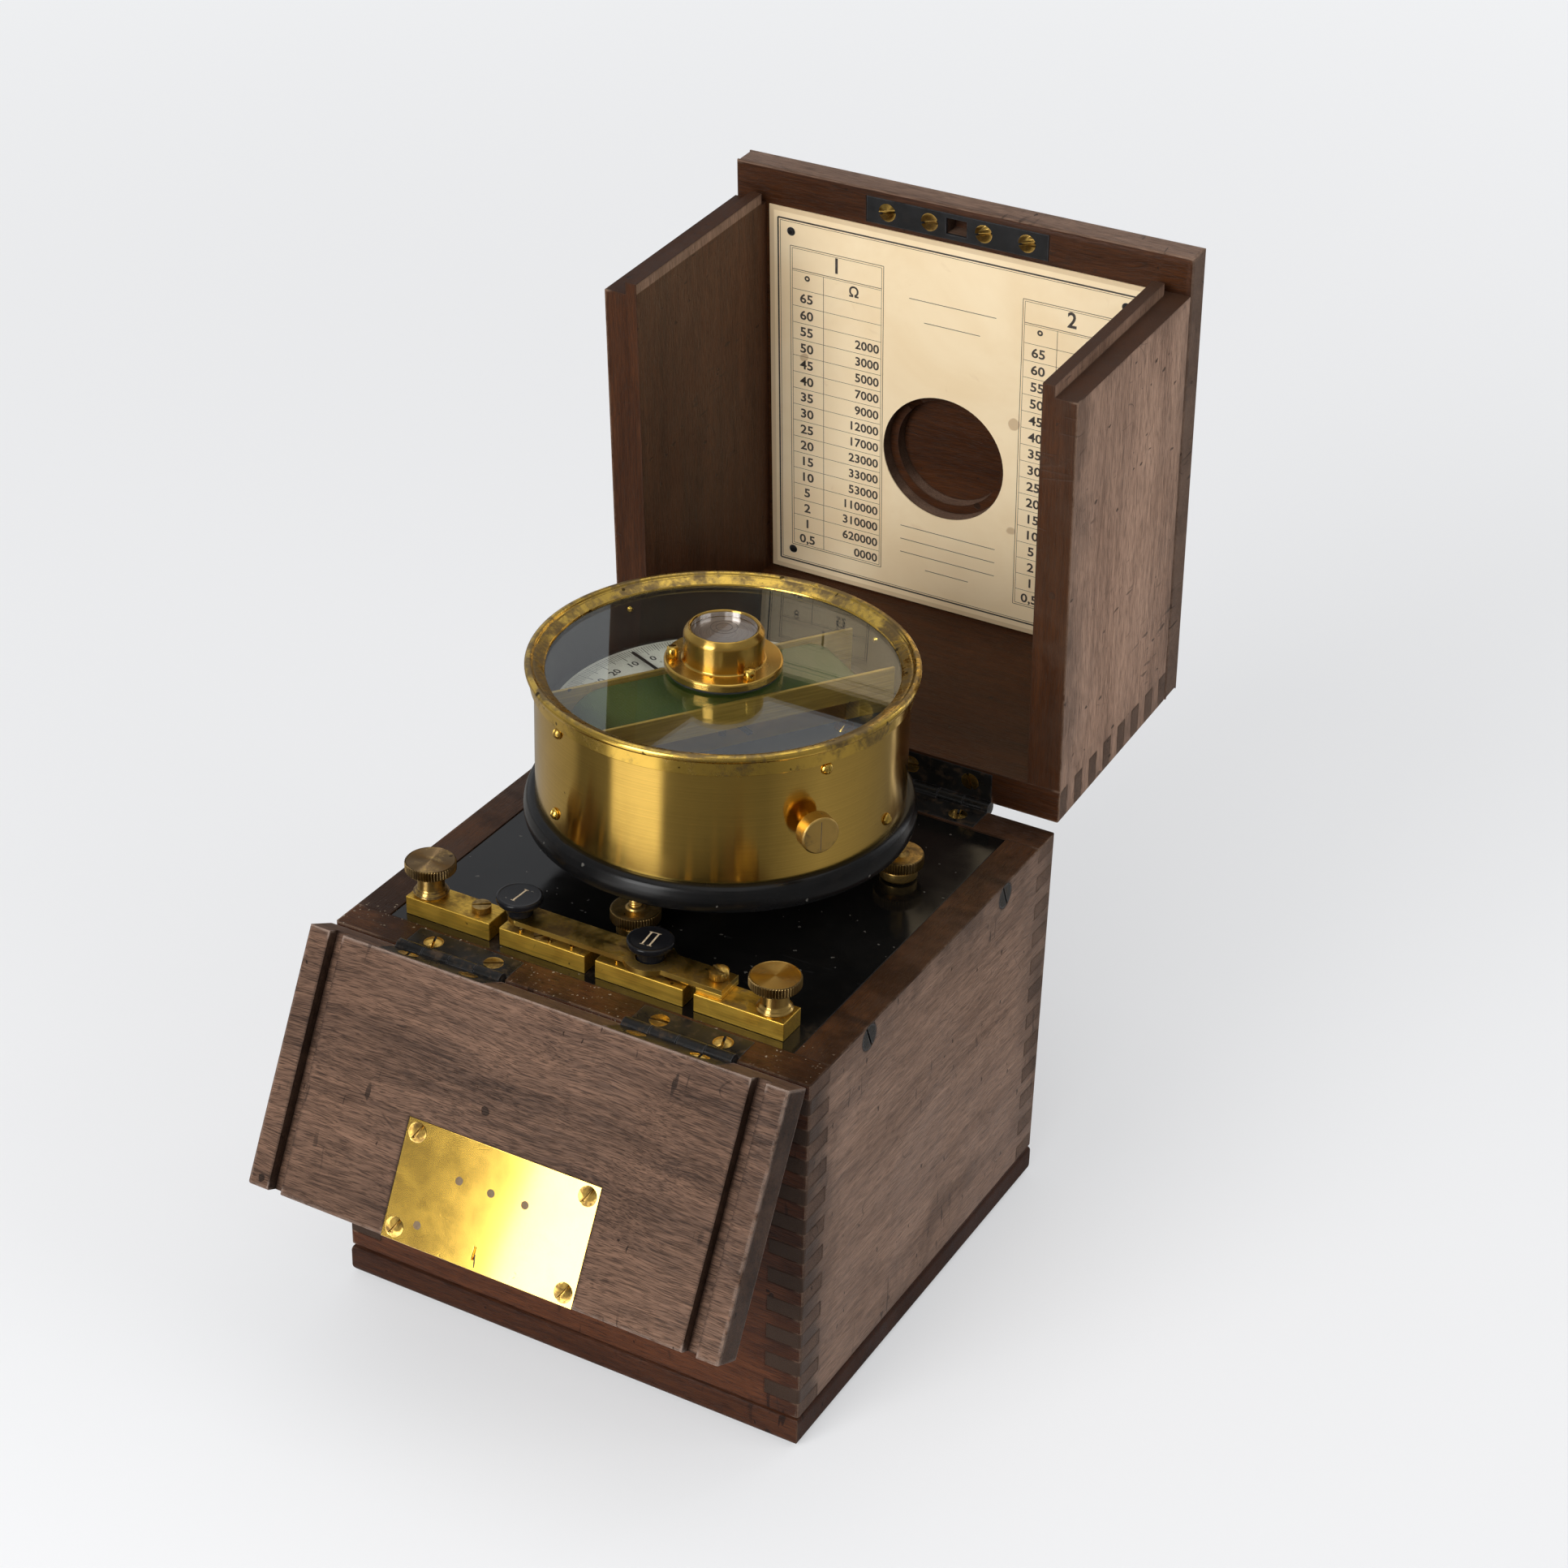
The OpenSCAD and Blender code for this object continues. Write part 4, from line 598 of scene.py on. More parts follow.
def wood(name, light, dark, along="X", matrix=HERE, inside=None, gloss=0.36, wave=0.004, end=0.6, pores=0.8,
         wear=(0.30, 0.20, 0.14), radius=0.0012, rim=None, seed=0.0, box=CASE_BOX, dim=None, ring=None,
         ends=None, worn=0.0):
    """Worn hardwood. along is the grain's axis in the shut pose.
    inside = (centre, half, light, dark) is a box in millimetres with its own colours.
    rim = (height, light) tints what lies above it.
    dim = (axis, place, reach, amount) darkens the wood towards a plane.
    ring = (y, z, radius) is dirt round a screw on each side.
    ends = (light, dark) are the tones of end grain along X.
    worn is how far handling darkens the box's edges."""
    turns = {"X": (0, 0, 0), "Y": (0, 0, -math.pi / 2)}[along]

    def build(g, shader, vector, normal):
        shut, facing = vector, normal
        if matrix is not HERE:
            shut, facing = carried_back(g, vector, normal, matrix)
        shift = (seed, seed * 0.37, seed * 0.71)
        v = g.mapped(shut, Rotation=turns, Location=shift)
        n = g.mapped(facing, "VECTOR", Rotation=turns)
        low, high = light, dark
        if inside:
            middle, reach, in_light, in_dark = inside
            mask = box_mask(g, shut, toned(middle, MM), toned(reach, MM))
            _, y, z = g.parts(facing)
            mask = g.most(mask, g.math("LESS_THAN", z, -0.6))
            if along == "Y":
                mask = g.most(mask, g.math("LESS_THAN", y, -0.6))
            low = g.blend(mask, low, in_light)
            high = g.blend(mask, high, in_dark)
        if ends:
            mask = g.math("GREATER_THAN", g.math("ABSOLUTE", g.parts(facing)[0]), 0.6)
            low = g.blend(mask, low, ends[0])
            high = g.blend(mask, high, ends[1])
        if rim:
            mask = g.span(g.parts(shut)[2], (rim[0] - 0.3) * MM, (rim[0] + 0.1) * MM)
            low = g.blend(mask, low, rim[1])
            high = g.blend(mask, high, toned(rim[1], 0.45))
            seam = box_mask(g, shut, (0, -0.0705, 0.131), (0.08, 0.009, 0.002))
            crumbs = g.times(specks(g, shut, 900.0, 0.55), seam)
            crumbs = g.times(crumbs, g.span(g.noise(shut, 70.0, 3.0), 0.4, 0.62))
        grain = hardwood(g, v, n, low, high, toned(dark, 0.28), wave, pores, end)
        edge = edge_wear(g, v, radius)
        centre = [(a + b) * MM / 2 for a, b in zip(*box)]
        half = [(b - a) * MM / 2 for a, b in zip(*box)]
        outer = outer_edges(g, shut, centre, half)
        lines = scratches(g, vector, 38.0, 0.9)
        dents = g.most(specks(g, vector, 240.0, 0.014), specks(g, g.stretch(shut, 1, 1, 0.5), 620.0, 0.03))
        colour = g.over(
            grain["Color"], (edge, 0.7, toned(dark, 0.35)), (g.times(edge, outer), 0.75, wear),
            (lines, 0.6, toned(dark, 0.25)), (dents, 0.8, toned(dark, 0.2)),
        )
        if worn:
            handled = g.two_of([g.span(past, -0.024, -0.002) for past in g.past_box(shut, centre, half)])
            handled = g.times(handled, g.span(g.noise(shut, 38.0, 4.0, 0.65), 0.3, 0.66, 0.15, 1.0))
            colour = g.over(colour, (handled, worn, toned(dark, 0.35)))
            stains = g.span(g.noise(shut, 21.0, 5.0, 0.68, 0.8), 0.56, 0.72, 0.0, 0.45)
            colour = g.blend(stains, colour, toned(dark, 0.5))
        nicks = g.span(g.noise(g.stretch(shut, 500, 500, 90), 1.0, 1.0, 0.5, 0.4), 0.64, 0.68)
        nicks = g.times(nicks, g.span(g.noise(shut, 30.0, 3.0, 0.6), 0.52, 0.66))
        colour = g.over(colour, (nicks, 0.8, toned(dark, 0.3)))
        if dim:
            axis, where, reach, amount = dim
            away = g.math("ABSOLUTE", g.minus(g.parts(shut)[axis], where * MM))
            away = g.plus(away, g.span(g.noise(shut, 45.0, 4.0, 0.6), 0.3, 0.7, -0.004, 0.004))
            colour = g.blend(g.span(away, 0.004, reach * MM, amount, 0.0), colour, toned(dark, 0.3))
        # a dark ring round the edge of each side screw's head
        if ring:
            flat = g.vector("MULTIPLY", g.vector("ABSOLUTE", shut), (0, 1, 1))
            away = g.vector("DISTANCE", flat, (0, ring[0] * MM, ring[1] * MM), "Value")
            dirt = g.span(away, ring[2] * MM, (ring[2] + 0.9) * MM, 0.9, 0.0)
            colour = g.blend(dirt, colour, toned(dark, 0.12))
        if rim:
            dirt = g.span(g.noise(shut, 42.0, 4.0, 0.65), 0.42, 0.6, 0.0, 0.85)
            colour = g.over(colour, (mask, dirt, toned(rim[1], 0.25)))
            colour = g.blend(crumbs, colour, (0.3, 0.24, 0.17))
        smear = g.noise(vector, 22.0, 3.0, 0.6)
        rough = g.plus(grain["Roughness"], g.span(smear, 0.3, 0.7, gloss - 0.07, gloss + 0.08))
        rough = g.plus(rough, g.times(edge, 0.1))
        g.fill(shader, Base_Color=colour, Roughness=rough, Specular_IOR_Level=0.14)
        g.bump(shader, g.minus(grain["Height"], g.plus(lines, g.times(dents, 2.0))), 0.00012, 0.6)

    return material(name, build)


def brass(name, bright, dull, amount=0.3, scale=70.0, rough=0.2, brushed=None, spots=0.05, lines=0.3,
          top_dull=0.0, wear=True, centre=None, spread=0.0, black_and_shade_radius=0.0, metal=1.0, grip=0.0, streaks=0.0,
          mottle=1.0, lacquer=0.0):
    """Brass with patina.
    brushed is the stretch of the fine bump, and centre turns it to circles about that point.
    top_dull adds patina where the surface faces up.
    spread draws reflections out across the brushing.
    lining is the radius within which it is blackened, grip the one beyond which the knurl holds dirt.
    streaks is how much the brushing shows in the colour, mottle how uneven the gloss is.
    lacquer is the weight of a clear coat."""

    def build(g, shader, vector, normal):
        v = vector
        if centre:
            v = g.mapped(vector, Location=toned(centre, -MM))
        level = amount
        if top_dull:
            level = g.plus(amount, g.span(g.parts(normal)[2], 0.5, 0.9, 0.0, top_dull), True)
        mask, cloud = tarnish(g, v, scale, level)
        colour = g.blend(g.span(cloud, 0.3, 0.7, 0.0, 0.35 * mottle), bright, toned(bright, 0.72))
        colour = g.blend(mask, colour, dull)
        height = g.times(g.noise(v, scale * 9.0, 3.0, 0.6), 0.25 * mottle)
        if brushed:
            w = v
            if centre:
                w = g.add("CombineXYZ", {0: g.reach(v), 1: g.parts(v)[2]}).outputs[0]
                w = g.vector("ADD", w, g.scaled(v, 0.01))
            fine = g.noise(g.stretch(w, *brushed), 1.0, 2.0, 0.6)
            colour = g.blend(g.span(fine, 0.3, 0.7, streaks, 0.0), colour, toned(bright, 0.45))
            height = g.plus(height, fine)
        if grip:
            held = g.span(g.reach(v), (grip - 0.3) * MM, grip * MM, 0.0, 0.75)
            colour = g.blend(held, colour, (0.12, 0.08, 0.04))
        if wear:
            rubbed = [min(1.0, c * 1.1 + 0.04) for c in bright]
            colour = g.over(colour, (edge_wear(g, v, 0.0005), 0.5, rubbed))
        dots = specks(g, vector, 420.0, spots)
        marks = scratches(g, vector, 90.0, lines)
        colour = g.over(colour, (dots, 0.8, (0.02, 0.012, 0.006)), (marks, 0.4, toned(bright, 0.3)))
        base = g.plus(rough, g.times(mask, 0.24))
        outside = metal
        # inside this radius the colour is painted near black: a dark inner finish and painted shade inside
        # the drum
        if black_and_shade_radius:
            outside = g.math("GREATER_THAN", g.reach(v), black_and_shade_radius * MM)
            colour = g.blend(outside, (0.009, 0.007, 0.005), colour)
            base = g.plus(base, g.times(g.minus(1.0, outside), 0.3))
        rough_here = g.plus(base, g.span(cloud, 0.3, 0.7, -0.03 * mottle, 0.08 * mottle))
        g.fill(shader, Base_Color=colour, Roughness=rough_here, Metallic=outside, Coat_Weight=lacquer)
        g.fill(shader, Coat_IOR=1.7, Coat_Roughness=0.06, Anisotropic=spread, Anisotropic_Rotation=0.25)
        g.bump(shader, g.minus(height, g.plus(marks, dots)), 0.00002, 0.25)

    return material(name, build)


def ebonite(name, colour, rough, dust, dust_box=None, shine=0.4):
    """Polished hard rubber with dust, faint scratches and brown bloom near what stands on it."""

    def build(g, shader, vector, normal):
        cloud = g.noise(vector, 55.0, 4.0, 0.6, 0.4)
        base = g.blend(g.span(cloud, 0.35, 0.7, 0.0, 0.6), colour, toned(colour, 1.7))
        dots = specks(g, vector, 620.0, dust)
        grime = g.span(g.noise(vector, 190.0, 5.0, 0.65), 0.47, 0.7)
        held = 0.02
        if dust_box:
            box = box_mask(g, vector, *dust_box)
            near = g.times(box, g.span(g.noise(vector, 60.0, 3.0), 0.35, 0.65))
            held = g.plus(0.01, g.times(near, 0.3))
        grime = g.times(grime, held)
        marks = scratches(g, vector, 45.0, 0.5)
        base = g.blend(grime, base, (0.11, 0.075, 0.045))
        base = g.over(base, (dots, 0.5, (0.16, 0.15, 0.13)), (marks, 0.12, (0.2, 0.2, 0.2)))
        haze = g.plus(g.times(grime, 0.5), g.span(cloud, 0.3, 0.7, rough - 0.03, rough + 0.06))
        haze = g.plus(haze, g.times(dots, 0.3))
        g.fill(shader, Base_Color=base, Roughness=haze, Specular_IOR_Level=shine)
        g.bump(shader, g.plus(grime, g.minus(dots, marks)), 0.00002, 0.5)

    return material(name, build)


def iron(name, colour, rough, rust, metallic=0.0):
    """Blackened iron, rubbed grey at its edges, with a little brown dust."""

    def build(g, shader, vector, normal):
        cloud = g.noise(vector, 130.0, 4.0, 0.6)
        edge = edge_wear(g, vector, 0.0006)
        grime = g.span(g.noise(vector, 320.0, 4.0, 0.6), 0.5, 0.72)
        base = g.blend(g.span(cloud, 0.35, 0.7, 0.0, 0.7), colour, toned(colour, 1.8))
        base = g.over(base, (grime, rust, (0.075, 0.048, 0.028)), (edge, 0.35, (0.13, 0.13, 0.14)))
        haze = g.plus(g.span(cloud, 0.3, 0.7, rough - 0.06, rough + 0.1), g.times(grime, 0.15))
        g.fill(shader, Base_Color=base, Roughness=haze, Metallic=metallic, Specular_IOR_Level=0.16)
        g.bump(shader, g.plus(cloud, g.times(grime, 0.6)), 0.00004, 0.5)

    return material(name, build)


def glass(name, colour=(0.93, 0.96, 0.95)):
    """Clear glass whose smears vary the gloss a little."""

    def build(g, shader, vector, normal):
        smear = g.span(g.noise(vector, 40.0, 3.0, 0.6), 0.52, 0.8, 0.0, 0.03)
        g.fill(shader, Base_Color=colour, Transmission_Weight=1.0, IOR=1.5, Roughness=smear)
        clear = g.add("BsdfTransparent", {"Color": (0.86, 0.88, 0.86, 1.0)})
        shadow = g.add("LightPath").outputs["Is Shadow Ray"]
        mixed = g.add("MixShader", {0: shadow, 1: shader.outputs[0], 2: clear.outputs[0]})
        g.put(g.tree.nodes["Material Output"].inputs["Surface"], mixed.outputs[0])

    return material(name, build)


def ink(name, colour):
    """Printing or engraving fill, a little uneven."""

    def build(g, shader, vector, normal):
        worn = g.span(g.noise(vector, 700.0, 2.0, 0.6), 0.35, 0.75)
        tone = g.blend(worn, colour, [c * 1.6 + 0.02 for c in colour])
        g.fill(shader, Base_Color=tone, Roughness=g.span(worn, 0.0, 1.0, 0.5, 0.7))

    return material(name, build)


def cloudy(name, one, other, scale, detail, gloss, metal=0.0, spots=0.0):
    """A plain finish between two colours in clouds; gloss = (least, most) roughness."""

    def build(g, shader, vector, normal):
        cloud = g.noise(vector, scale, detail, 0.6)
        base = g.blend(g.span(cloud, 0.3, 0.7), one, other)
        if spots:
            base = g.blend(g.times(specks(g, vector, 500.0, spots), 0.6), base, (0.2, 0.18, 0.14))
        g.fill(shader, Base_Color=base, Roughness=g.span(cloud, 0.3, 0.7, *gloss), Metallic=metal)

    return material(name, build)


def paper(name):
    """Aged card: cream with foxing, darker towards its edges, a soft fibre bump."""

    def build(g, shader, vector, normal):
        v, _ = carried_back(g, vector, normal, LID)
        cloud = g.noise(v, 26.0, 4.0, 0.6, 0.4)
        base = g.blend(g.span(cloud, 0.3, 0.72), (0.94, 0.77, 0.51), (0.87, 0.68, 0.42))
        inner = box_mask(g, v, (0, 0, 0.211), (0.0655, 0.0652, 0.01))
        foxing = specks(g, v, 130.0, 0.07)
        base = g.over(base, (g.minus(1.0, inner), 0.45, (0.5, 0.34, 0.18)), (foxing, 0.5, (0.36, 0.2, 0.09)))
        stain = g.span(g.noise(v, 60.0, 3.0, 0.7, 1.0), 0.66, 0.8, 0.0, 0.4)
        base = g.blend(stain, base, (0.6, 0.4, 0.22))
        g.fill(shader, Base_Color=base, Roughness=g.span(cloud, 0.3, 0.7, 0.62, 0.75))
        g.bump(shader, g.noise(v, 900.0, 3.0, 0.6), 0.00003, 0.4)

    return material(name, build)


def silk(name, colour, second):
    """Silk-covered wire: a fine spiral sheen over a dark green."""

    def build(g, shader, vector, normal):
        fibre = g.noise(vector, 1800.0, 3.0, 0.7)
        base = g.blend(g.span(g.noise(vector, 70.0, 3.0), 0.3, 0.7), colour, second)
        base = g.blend(g.span(fibre, 0.55, 0.75, 0.0, 0.4), base, [c * 2.2 + 0.02 for c in colour])
        g.fill(shader, Base_Color=base, Roughness=g.span(fibre, 0.3, 0.7, 0.5, 0.75))
        g.bump(shader, fibre, 0.00006, 0.6)

    return material(name, build)


# Sizes and colours that a user would change


def tone(label, text, value):
    """A colour property."""
    return FloatVectorProperty(name=label, description=text, subtype="COLOR", size=3, default=value)


def length(label, text, value):
    """A length property, in metres."""
    return FloatProperty(name=label, description=text, default=value, unit="LENGTH")


def count(label, text, value):
    """A number of teeth or turns."""
    return IntProperty(name=label, description=text, default=value, min=20)


class TesterSizes(PropertyGroup):
    board_wear: length("Board wear", "Rounding of the boards' outer edges", 0.0011)
    joint_wear: length("Joint wear", "Rounding of edges at the finger joints", 0.00022)
    brass_edge: length("Brass edge", "Rounding of the brass blocks' edges", 0.0003)
    nut_teeth: count("Nut knurls", "Grooves round a terminal nut", 56)
    foot_teeth: count("Foot knurls", "Grooves round a foot", 56)
    winding_turns: count("Winding turns", "Turns in the coil", 42)
    scale_zero: FloatProperty(
        name="Scale zero", description="Direction of the scale's zero mark", default=math.radians(150),
        subtype="ANGLE",
    )


class TesterColours(PropertyGroup):
    case_light: tone("Case light", "Lighter tone of the case's sides", (0.33, 0.208, 0.145))
    case_dark: tone("Case dark", "Darker tone of the case's sides", (0.12, 0.067, 0.043))
    front_light: tone("Front light", "Lighter tone of the red-brown front", (0.122, 0.04, 0.0155))
    front_dark: tone("Front dark", "Darker tone of the red-brown front", (0.039, 0.012, 0.0052))
    inside_light: tone("Inside light", "Lighter tone inside the lid", (0.085, 0.029, 0.01))
    inside_dark: tone("Inside dark", "Darker tone inside the lid", (0.027, 0.009, 0.0035))
    flap_light: tone("Flap light", "Lighter tone of the flap", (0.2, 0.112, 0.072))
    flap_dark: tone("Flap dark", "Darker tone of the flap", (0.03, 0.0155, 0.01))
    brass: tone("Brass", "Bright brass", (0.84, 0.55, 0.11))
    patina: tone("Patina", "Tarnished brass", (0.24, 0.145, 0.05))


def sizes():
    return bpy.context.scene.tester_sizes


def colours():
    return bpy.context.scene.tester_colours


def mm(value):
    """A property in metres as millimetres."""
    return value * 1000.0


def heights(node):
    """A node's lowest and highest z, in millimetres."""
    return (v.z * 1000 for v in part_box(node))


def plain_brass(name, *rest, **more):
    """Brass in the add-on's two colours."""
    c = colours()
    return brass(name, tuple(c.brass), tuple(c.patina), *rest, **more)


def seen_from(azimuth, height):
    """The way from the object to a place at that azimuth and height, in degrees."""
    a, e = math.radians(azimuth), math.radians(height)
    return Vector((math.sin(a) * math.cos(e), -math.cos(a) * math.cos(e), math.sin(e)))


# Stage

# greys by azimuth that the floor shows only in reflections: painted reflections of bright and dark studio
# sides
RAMP = (
    (-180, 0.3), (-100, 0.42), (-66, 0.3), (-60, 0.12), (-37, 0.14), (-34, 1.0), (-6, 1.0), (-2, 0.12),
    (56, 0.13), (90, 0.3), (148, 0.2), (152, 0.9), (157, 0.9), (161, 0.2), (180, 0.3),
)
LAMPS = (  # name, azimuth, height, distance, width, height of the lamp, power, mirrored
    ("front_left_softbox", -12.5, 19, 1.5, 0.64, 1.05, 13.0, True),
    ("right_back_softbox", 152, 16, 1.6, 0.16, 1.2, 1.2, True),
    ("top_softbox", 0, 88, 2.2, 2.4, 2.4, 12.0, True),
    ("front_fill", 2, 34, 1.9, 1.5, 1.4, 13.0, False),
    ("right_fill", 100, 30, 1.9, 1.3, 1.3, 9.5, False),
)
FLOOR_REACH = 6.0  # metres
LAMP_AIM = (0, 0, 0.15)  # what every lamp points at, in metres
CAMERA_TURN = (28.388, 30.364, 1.756)  # azimuth, height and roll, in degrees
CAMERA_PLACE = (0.42359, -0.73531, 0.66104)  # metres
LENS = 75.75  # millimetres, on a 36 mm sensor


def floor_finish(g, shader, vector, normal):
    """Pale paper. Polished pieces mirror it with a studio's bright and dark sides, the ramp of greys by
    azimuth, and towards the horizon it is lifted to the backdrop's white."""
    path = g.add("LightPath").outputs
    far = g.vector("LENGTH", vector, output="Value")
    x, y, _ = g.parts(vector)
    way = g.math("ARCTAN2", x, g.times(y, -1.0))
    turn = g.add("MapRange", {"Value": way, "From Min": -math.pi, "From Max": math.pi}).outputs[0]
    ramp = g.add("ValToRGB", {"Fac": turn})
    elements = ramp.color_ramp.elements
    while len(elements) < len(RAMP):
        elements.new(0.5)
    for element, (angle, grey) in zip(elements, RAMP):
        element.position = (angle + 180) / 360
        element.color = (grey, grey * 0.97, grey * 0.93, 1)
    mirrored = g.times(g.span(far, 0.12, 0.22), path["Is Glossy Ray"])
    tone = g.blend(path["Is Camera Ray"], (0.87, 0.87, 0.882), (0.5, 0.5, 0.507))
    lift = g.times(g.span(far, 0.15, 2.3, 0.405, 0.69), path["Is Camera Ray"])
    rough = g.span(g.noise(vector, 3.0, 2.0), 0.3, 0.7, 0.75, 0.85)
    g.fill(shader, Base_Color=g.blend(mirrored, tone, ramp.outputs[0]), Roughness=rough)
    glow = g.blend(lift, (0, 0, 0), (0.97, 0.985, 1.0))
    g.fill(shader, Specular_IOR_Level=0.1, Emission_Color=glow, Emission_Strength=1.0)


class TESTER_OT_stage(Operator):
    """Pale floor, soft lamps, plain world and the camera at the photograph's angle"""

    bl_idname = "tester.stage"
    bl_label = "Stage"

    def execute(self, context):
        scene = context.scene
        scene.view_settings.view_transform = "Standard"
        r = FLOOR_REACH
        mesh = bpy.data.meshes.new("floor")
        mesh.from_pydata([(-r, -r, 0), (r, -r, 0), (r, r, 0), (-r, r, 0)], [], [(0, 1, 2, 3)])
        floor = bpy.data.objects.new("floor", mesh)
        scene.collection.objects.link(floor)
        mesh.materials.append(material("floor_paper", floor_finish))

        world = bpy.data.worlds.new("studio")
        scene.world = world
        world.use_nodes = True
        g = Graph(world.node_tree)
        front = g.vector("DOT_PRODUCT", g.add("TexCoord").outputs["Generated"], (0.47, -0.88, 0), "Value")
        room = g.blend(g.span(front, -0.75, 0.1), (0.5, 0.51, 0.53), (0.26, 0.255, 0.25))
        seen = g.add("LightPath").outputs["Is Camera Ray"]
        sky = world.node_tree.nodes["Background"]
        g.fill(sky, Color=g.blend(seen, room, (0.86, 0.865, 0.885)), Strength=1.0)

        for name, azimuth, height, distance, width, tall, power, mirrored in LAMPS:
            way = seen_from(azimuth, height)
            data = bpy.data.lights.new(name, "AREA")
            data.shape = "RECTANGLE"
            data.size = width
            data.size_y = tall
            data.energy = power
            lamp = bpy.data.objects.new(name, data)
            lamp.location = Vector(LAMP_AIM) + way * distance
            lamp.rotation_mode = "QUATERNION"
            lamp.rotation_quaternion = way.to_track_quat("Z", "Y")
            lamp.visible_glossy = mirrored
            scene.collection.objects.link(lamp)

        data = bpy.data.cameras.new("camera")
        data.lens = LENS
        data.sensor_width = 36.0
        data.clip_start = 0.02
        data.clip_end = 50.0
        camera = bpy.data.objects.new("camera", data)
        scene.collection.objects.link(camera)
        azimuth, height, roll = CAMERA_TURN
        back = seen_from(azimuth, height)
        a, roll = math.radians(azimuth), math.radians(roll)
        right = Vector((math.cos(a), math.sin(a), 0))
        up = back.cross(right)
        level = math.cos(roll) * right + math.sin(roll) * up
        top = math.cos(roll) * up - math.sin(roll) * right
        turn = Matrix((level, top, back)).transposed().to_4x4()
        camera.matrix_world = Matrix.Translation(CAMERA_PLACE) @ turn
        scene.camera = camera
        return {"FINISHED"}


# Wood


class TESTER_OT_case(Operator):
    """Finger-jointed case boards, bottom board and battens, with worn outer edges"""

    bl_idname = "tester.case"
    bl_label = "Case"

    def execute(self, context):
        s, c = sizes(), colours()
        side, red = (c.case_light, c.case_dark), (c.front_light, c.front_dark)
        low = [toned(v, 0.65) for v in red]
        rim = (130.7, (0.095, 0.036, 0.012))
        edges = {"rim": rim, "end": 0.65, "dim": (1, -79, 15, 0.8), "ring": (44, 126.7, 4.0), "worn": 0.75}
        boards = {
            "case_right": wood("case_side_wood", *side, "Y", seed=0.3, **edges),
            "case_left": wood("case_left_wood", *side, "Y", seed=1.7, **edges),
            "case_front": wood("case_front_wood", *red, rim=rim, gloss=0.38, end=0.25, seed=2.9,
                               dim=(0, 80, 12, 0.45), ends=side),
            "case_back": wood("case_back_wood", *side, rim=rim, end=0.35, seed=4.1, worn=0.75),
        }
        for node, finish in boards.items():
            dressed(node, finish, "case", mm(s.joint_wear), mm(s.board_wear), CASE_BOX)
        bottom = wood("bottom_wood", *low, gloss=0.4, end=0.35, seed=5.3, wear=(0.09, 0.05, 0.03))
        dressed("bottom_board", bottom, "case")
        painted(bottom, "panel_battens")
        painted(iron("side_screw_iron", (0.014, 0.0135, 0.012), 0.28, 0.3), "side_screws")
        return {"FINISHED"}


class TESTER_OT_lid(Operator):
    """Lid boards: grey-brown and worn outside, dark red-brown inside"""

    bl_idname = "tester.lid"
    bl_label = "Lid"

    def execute(self, context):
        s, c = sizes(), colours()
        tones = (c.case_light, c.case_dark)
        # the right board takes the side tones 1.5 times lighter, painted light and sheen on that face; the
        # lid board takes them 0.85 times
        painted_light_tones, deep = ([toned(v, k) for v in tones] for k in (1.5, 0.85))
        inner = ((0, 0, 171.6), (68.62, 67.7, 40.35), c.inside_light, c.inside_dark)
        face = ((0, 0, 171.6), (78.5, 77.6, 40.35), c.inside_light, c.inside_dark)
        boards = {
            "lid_right": wood("lid_side_wood", *painted_light_tones, "Y", LID, inner, 0.33, end=0.4, seed=0.9, box=LID_BOX,
                              worn=0.6),
            "lid_left": wood("lid_left_wood", *tones, "Y", LID, inner, end=0.4, seed=6.4, box=LID_BOX),
            "lid_back": wood("lid_back_wood", *tones, "X", LID, inner, seed=2.2, box=LID_BOX),
            "lid_board": wood("lid_board_wood", *deep, "X", LID, face, end=0.4, seed=7.7, box=LID_BOX),
        }
        for node, finish in boards.items():
            dressed(node, finish, "lid", mm(s.joint_wear), mm(s.board_wear), LID_BOX, LID)
        return {"FINISHED"}


class TESTER_OT_flap(Operator):
    """Front flap: coarse open grain on its inner face, dark grooves, chipped edges"""

    bl_idname = "tester.flap"
    bl_label = "Flap"

    def execute(self, context):
        s, c = sizes(), colours()
        finish = wood(
            "flap_board_wood", c.flap_light, c.flap_dark, "X", FLAP, gloss=0.46, wave=0.009, pores=1.0,
            end=0.55, wear=(0.36, 0.27, 0.22), radius=0.0016, seed=3.3, box=FLAP_BOX,
        )
        outer = mm(s.board_wear) * 0.8
        dressed("flap_board", finish, "flap", mm(s.joint_wear), outer, FLAP_BOX, FLAP)
        return {"FINISHED"}


# Print


